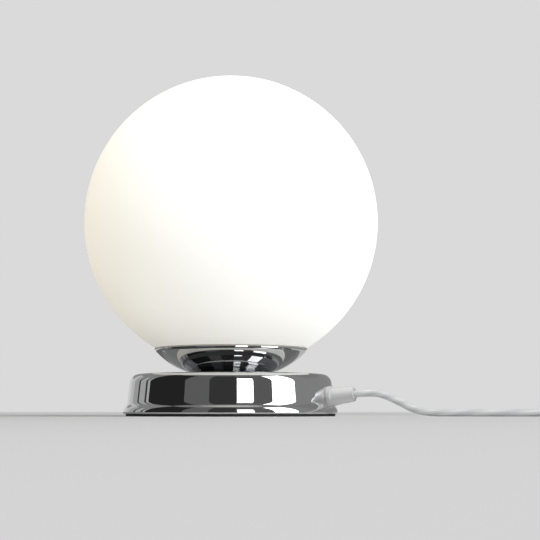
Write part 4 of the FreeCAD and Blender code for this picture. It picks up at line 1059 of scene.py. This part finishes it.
grips = rows("grip", switch_plastic, GRIP, GRIPS, [
    ((SWITCH[0] + side * GRIP_FROM, SWITCH[1], SWITCH_TOP), side * GRIP_PITCH) for side in (1, -1)])
nose_rings = []
for end in (1, -1):
    for number in range(NOSE_RINGS):
        out = NOSE * (number + RING_FIRST) / (NOSE_RINGS + RING_SPARE)
        radius = NOSE_ROOT + (NOSE_END - NOSE_ROOT) * out / NOSE
        ring = turned("nose_ring", switch_plastic, traced(
            (radius - RING_BACK, -RING_HALF), (radius + RING_OUT, -RING_CREST),
            (radius + RING_OUT, RING_CREST), (radius - RING_BACK, RING_HALF)), steps=48)
        place = (SWITCH[0] + end * (SWITCH_HALF + out), SWITCH[1], SWITCH_AXIS)
        ring.data.transform(Matrix.Translation(place) @ Matrix.Rotation(pi / 2, 4, "Y"))
        nose_rings.append(ring)
switch_ribs = joined(grips, *nose_rings)
fitted(switch_ribs, "lamp", "switch_plastic")

switch_screw = screw("switch_screw", zinc, head_r=0.0027, shank_r=0.0015, head_z=0.0002, head_h=0.0016,
                     top_z=0.0127)
switch_screws = row(
    "switch_screws_cross", zinc, switch_screw, 2, (-2 * SWITCH_SCREW[0], -2 * SWITCH_SCREW[1], 0),
    (SWITCH[0] + SWITCH_SCREW[0], SWITCH[1] + SWITCH_SCREW[1], 0))
bpy.data.objects.remove(switch_screw)
fitted(switch_screws, "lamp", "zinc_steel", "switch_screws")

rocker_plastic = clouded("rocker_plastic", {"Coat Weight": 0.3, "Coat Roughness": 0.1}, (120,),
                         ((0.74, 0.74, 0.73), (0.82, 0.82, 0.81)), (2200, 2), (0.24, 0.1), 0.00002)
dress(rocker_plastic, "switch_rocker")

ROCKER_PIN_Z = 0.0112
ROCKER_TILT = radians(-7.0)
SIGN_X = 0.0058          # from the pins to the middle of each sign
SIGN_Z = 0.0061          # over the pins, where the hollow top carries the signs
SIGN_HALF = 0.00025      # of a sign's height
ON_BAR = (0.0005, 0.0026, 2 * SIGN_HALF)
ON_BAR_ROUND = 0.00012
OFF_BORE_R, OFF_R = 0.0008, 0.0013
on_bar = bar("on_bar", rocker_plastic, ON_BAR, ON_BAR_ROUND)
on_bar.data.transform(Matrix.Translation((SIGN_X, 0, SIGN_Z)))
off_ring = turned("off_ring", rocker_plastic, traced(
    (OFF_BORE_R, -SIGN_HALF), (OFF_R, -SIGN_HALF), (OFF_R, SIGN_HALF), (OFF_BORE_R, SIGN_HALF)), steps=32)
off_ring.data.transform(Matrix.Translation((-SIGN_X, 0, SIGN_Z)))
signs = joined(on_bar, off_ring)
signs.data.transform(Matrix.Translation((*SWITCH, ROCKER_PIN_Z)) @ Matrix.Rotation(ROCKER_TILT, 4, "Y"))
fitted(signs, "rocker", "rocker_plastic")

# --- plug ---
# Flat two-pin mains plug, moulded in one piece on the lead in the same clear plastic, with finger ribs on
# both faces. The nickel-plated pins are sleeved in black where they leave the face.
PLUG_BODY_X = 0.391      # where the tail meets the body
PLUG_Y = 0.014
PLUG_TH = 0.0137
PLUG_RIBS = 6
PLUG_RIB_PITCH = 0.0026
PLUG_RIB = (0.0012, 0.011, 0.0006)
PLUG_RIB_FROM = 0.006

plug_plastic = clouded("plug_plastic", {"Transmission Weight": 0.35, "IOR": 1.48}, (80,),
                       ((0.5, 0.51, 0.52), (0.64, 0.65, 0.66)), (1500,), (0.16, 0.08), 0.00003,
                       bumps=(1000, 2))
dress(plug_plastic, "plug_body")
finger_ribs = rows("plug_rib", plug_plastic, PLUG_RIB, PLUG_RIBS, [
    ((PLUG_BODY_X + PLUG_RIB_FROM, PLUG_Y, z), PLUG_RIB_PITCH) for z in (PLUG_TH, PLUG_RIB[2] / 2)])
fitted(finger_ribs, "lamp", "plug_plastic")

pin_wear = (1200, 3, (0.1, 1, 1))
nickel = clouded("pin_metal", {"Metallic": 1.0}, pin_wear, ((0.66, 0.64, 0.6), (0.78, 0.77, 0.74)), pin_wear,
                 (0.12, 0.16), 0.00001)
dress(nickel, "plug_pins")
sleeve_plastic = clouded("pin_sleeve", {}, (200,), (grey(0.02), grey(0.045)), (1500,), (0.4, 0.15))
dress(sleeve_plastic, "plug_sleeves")
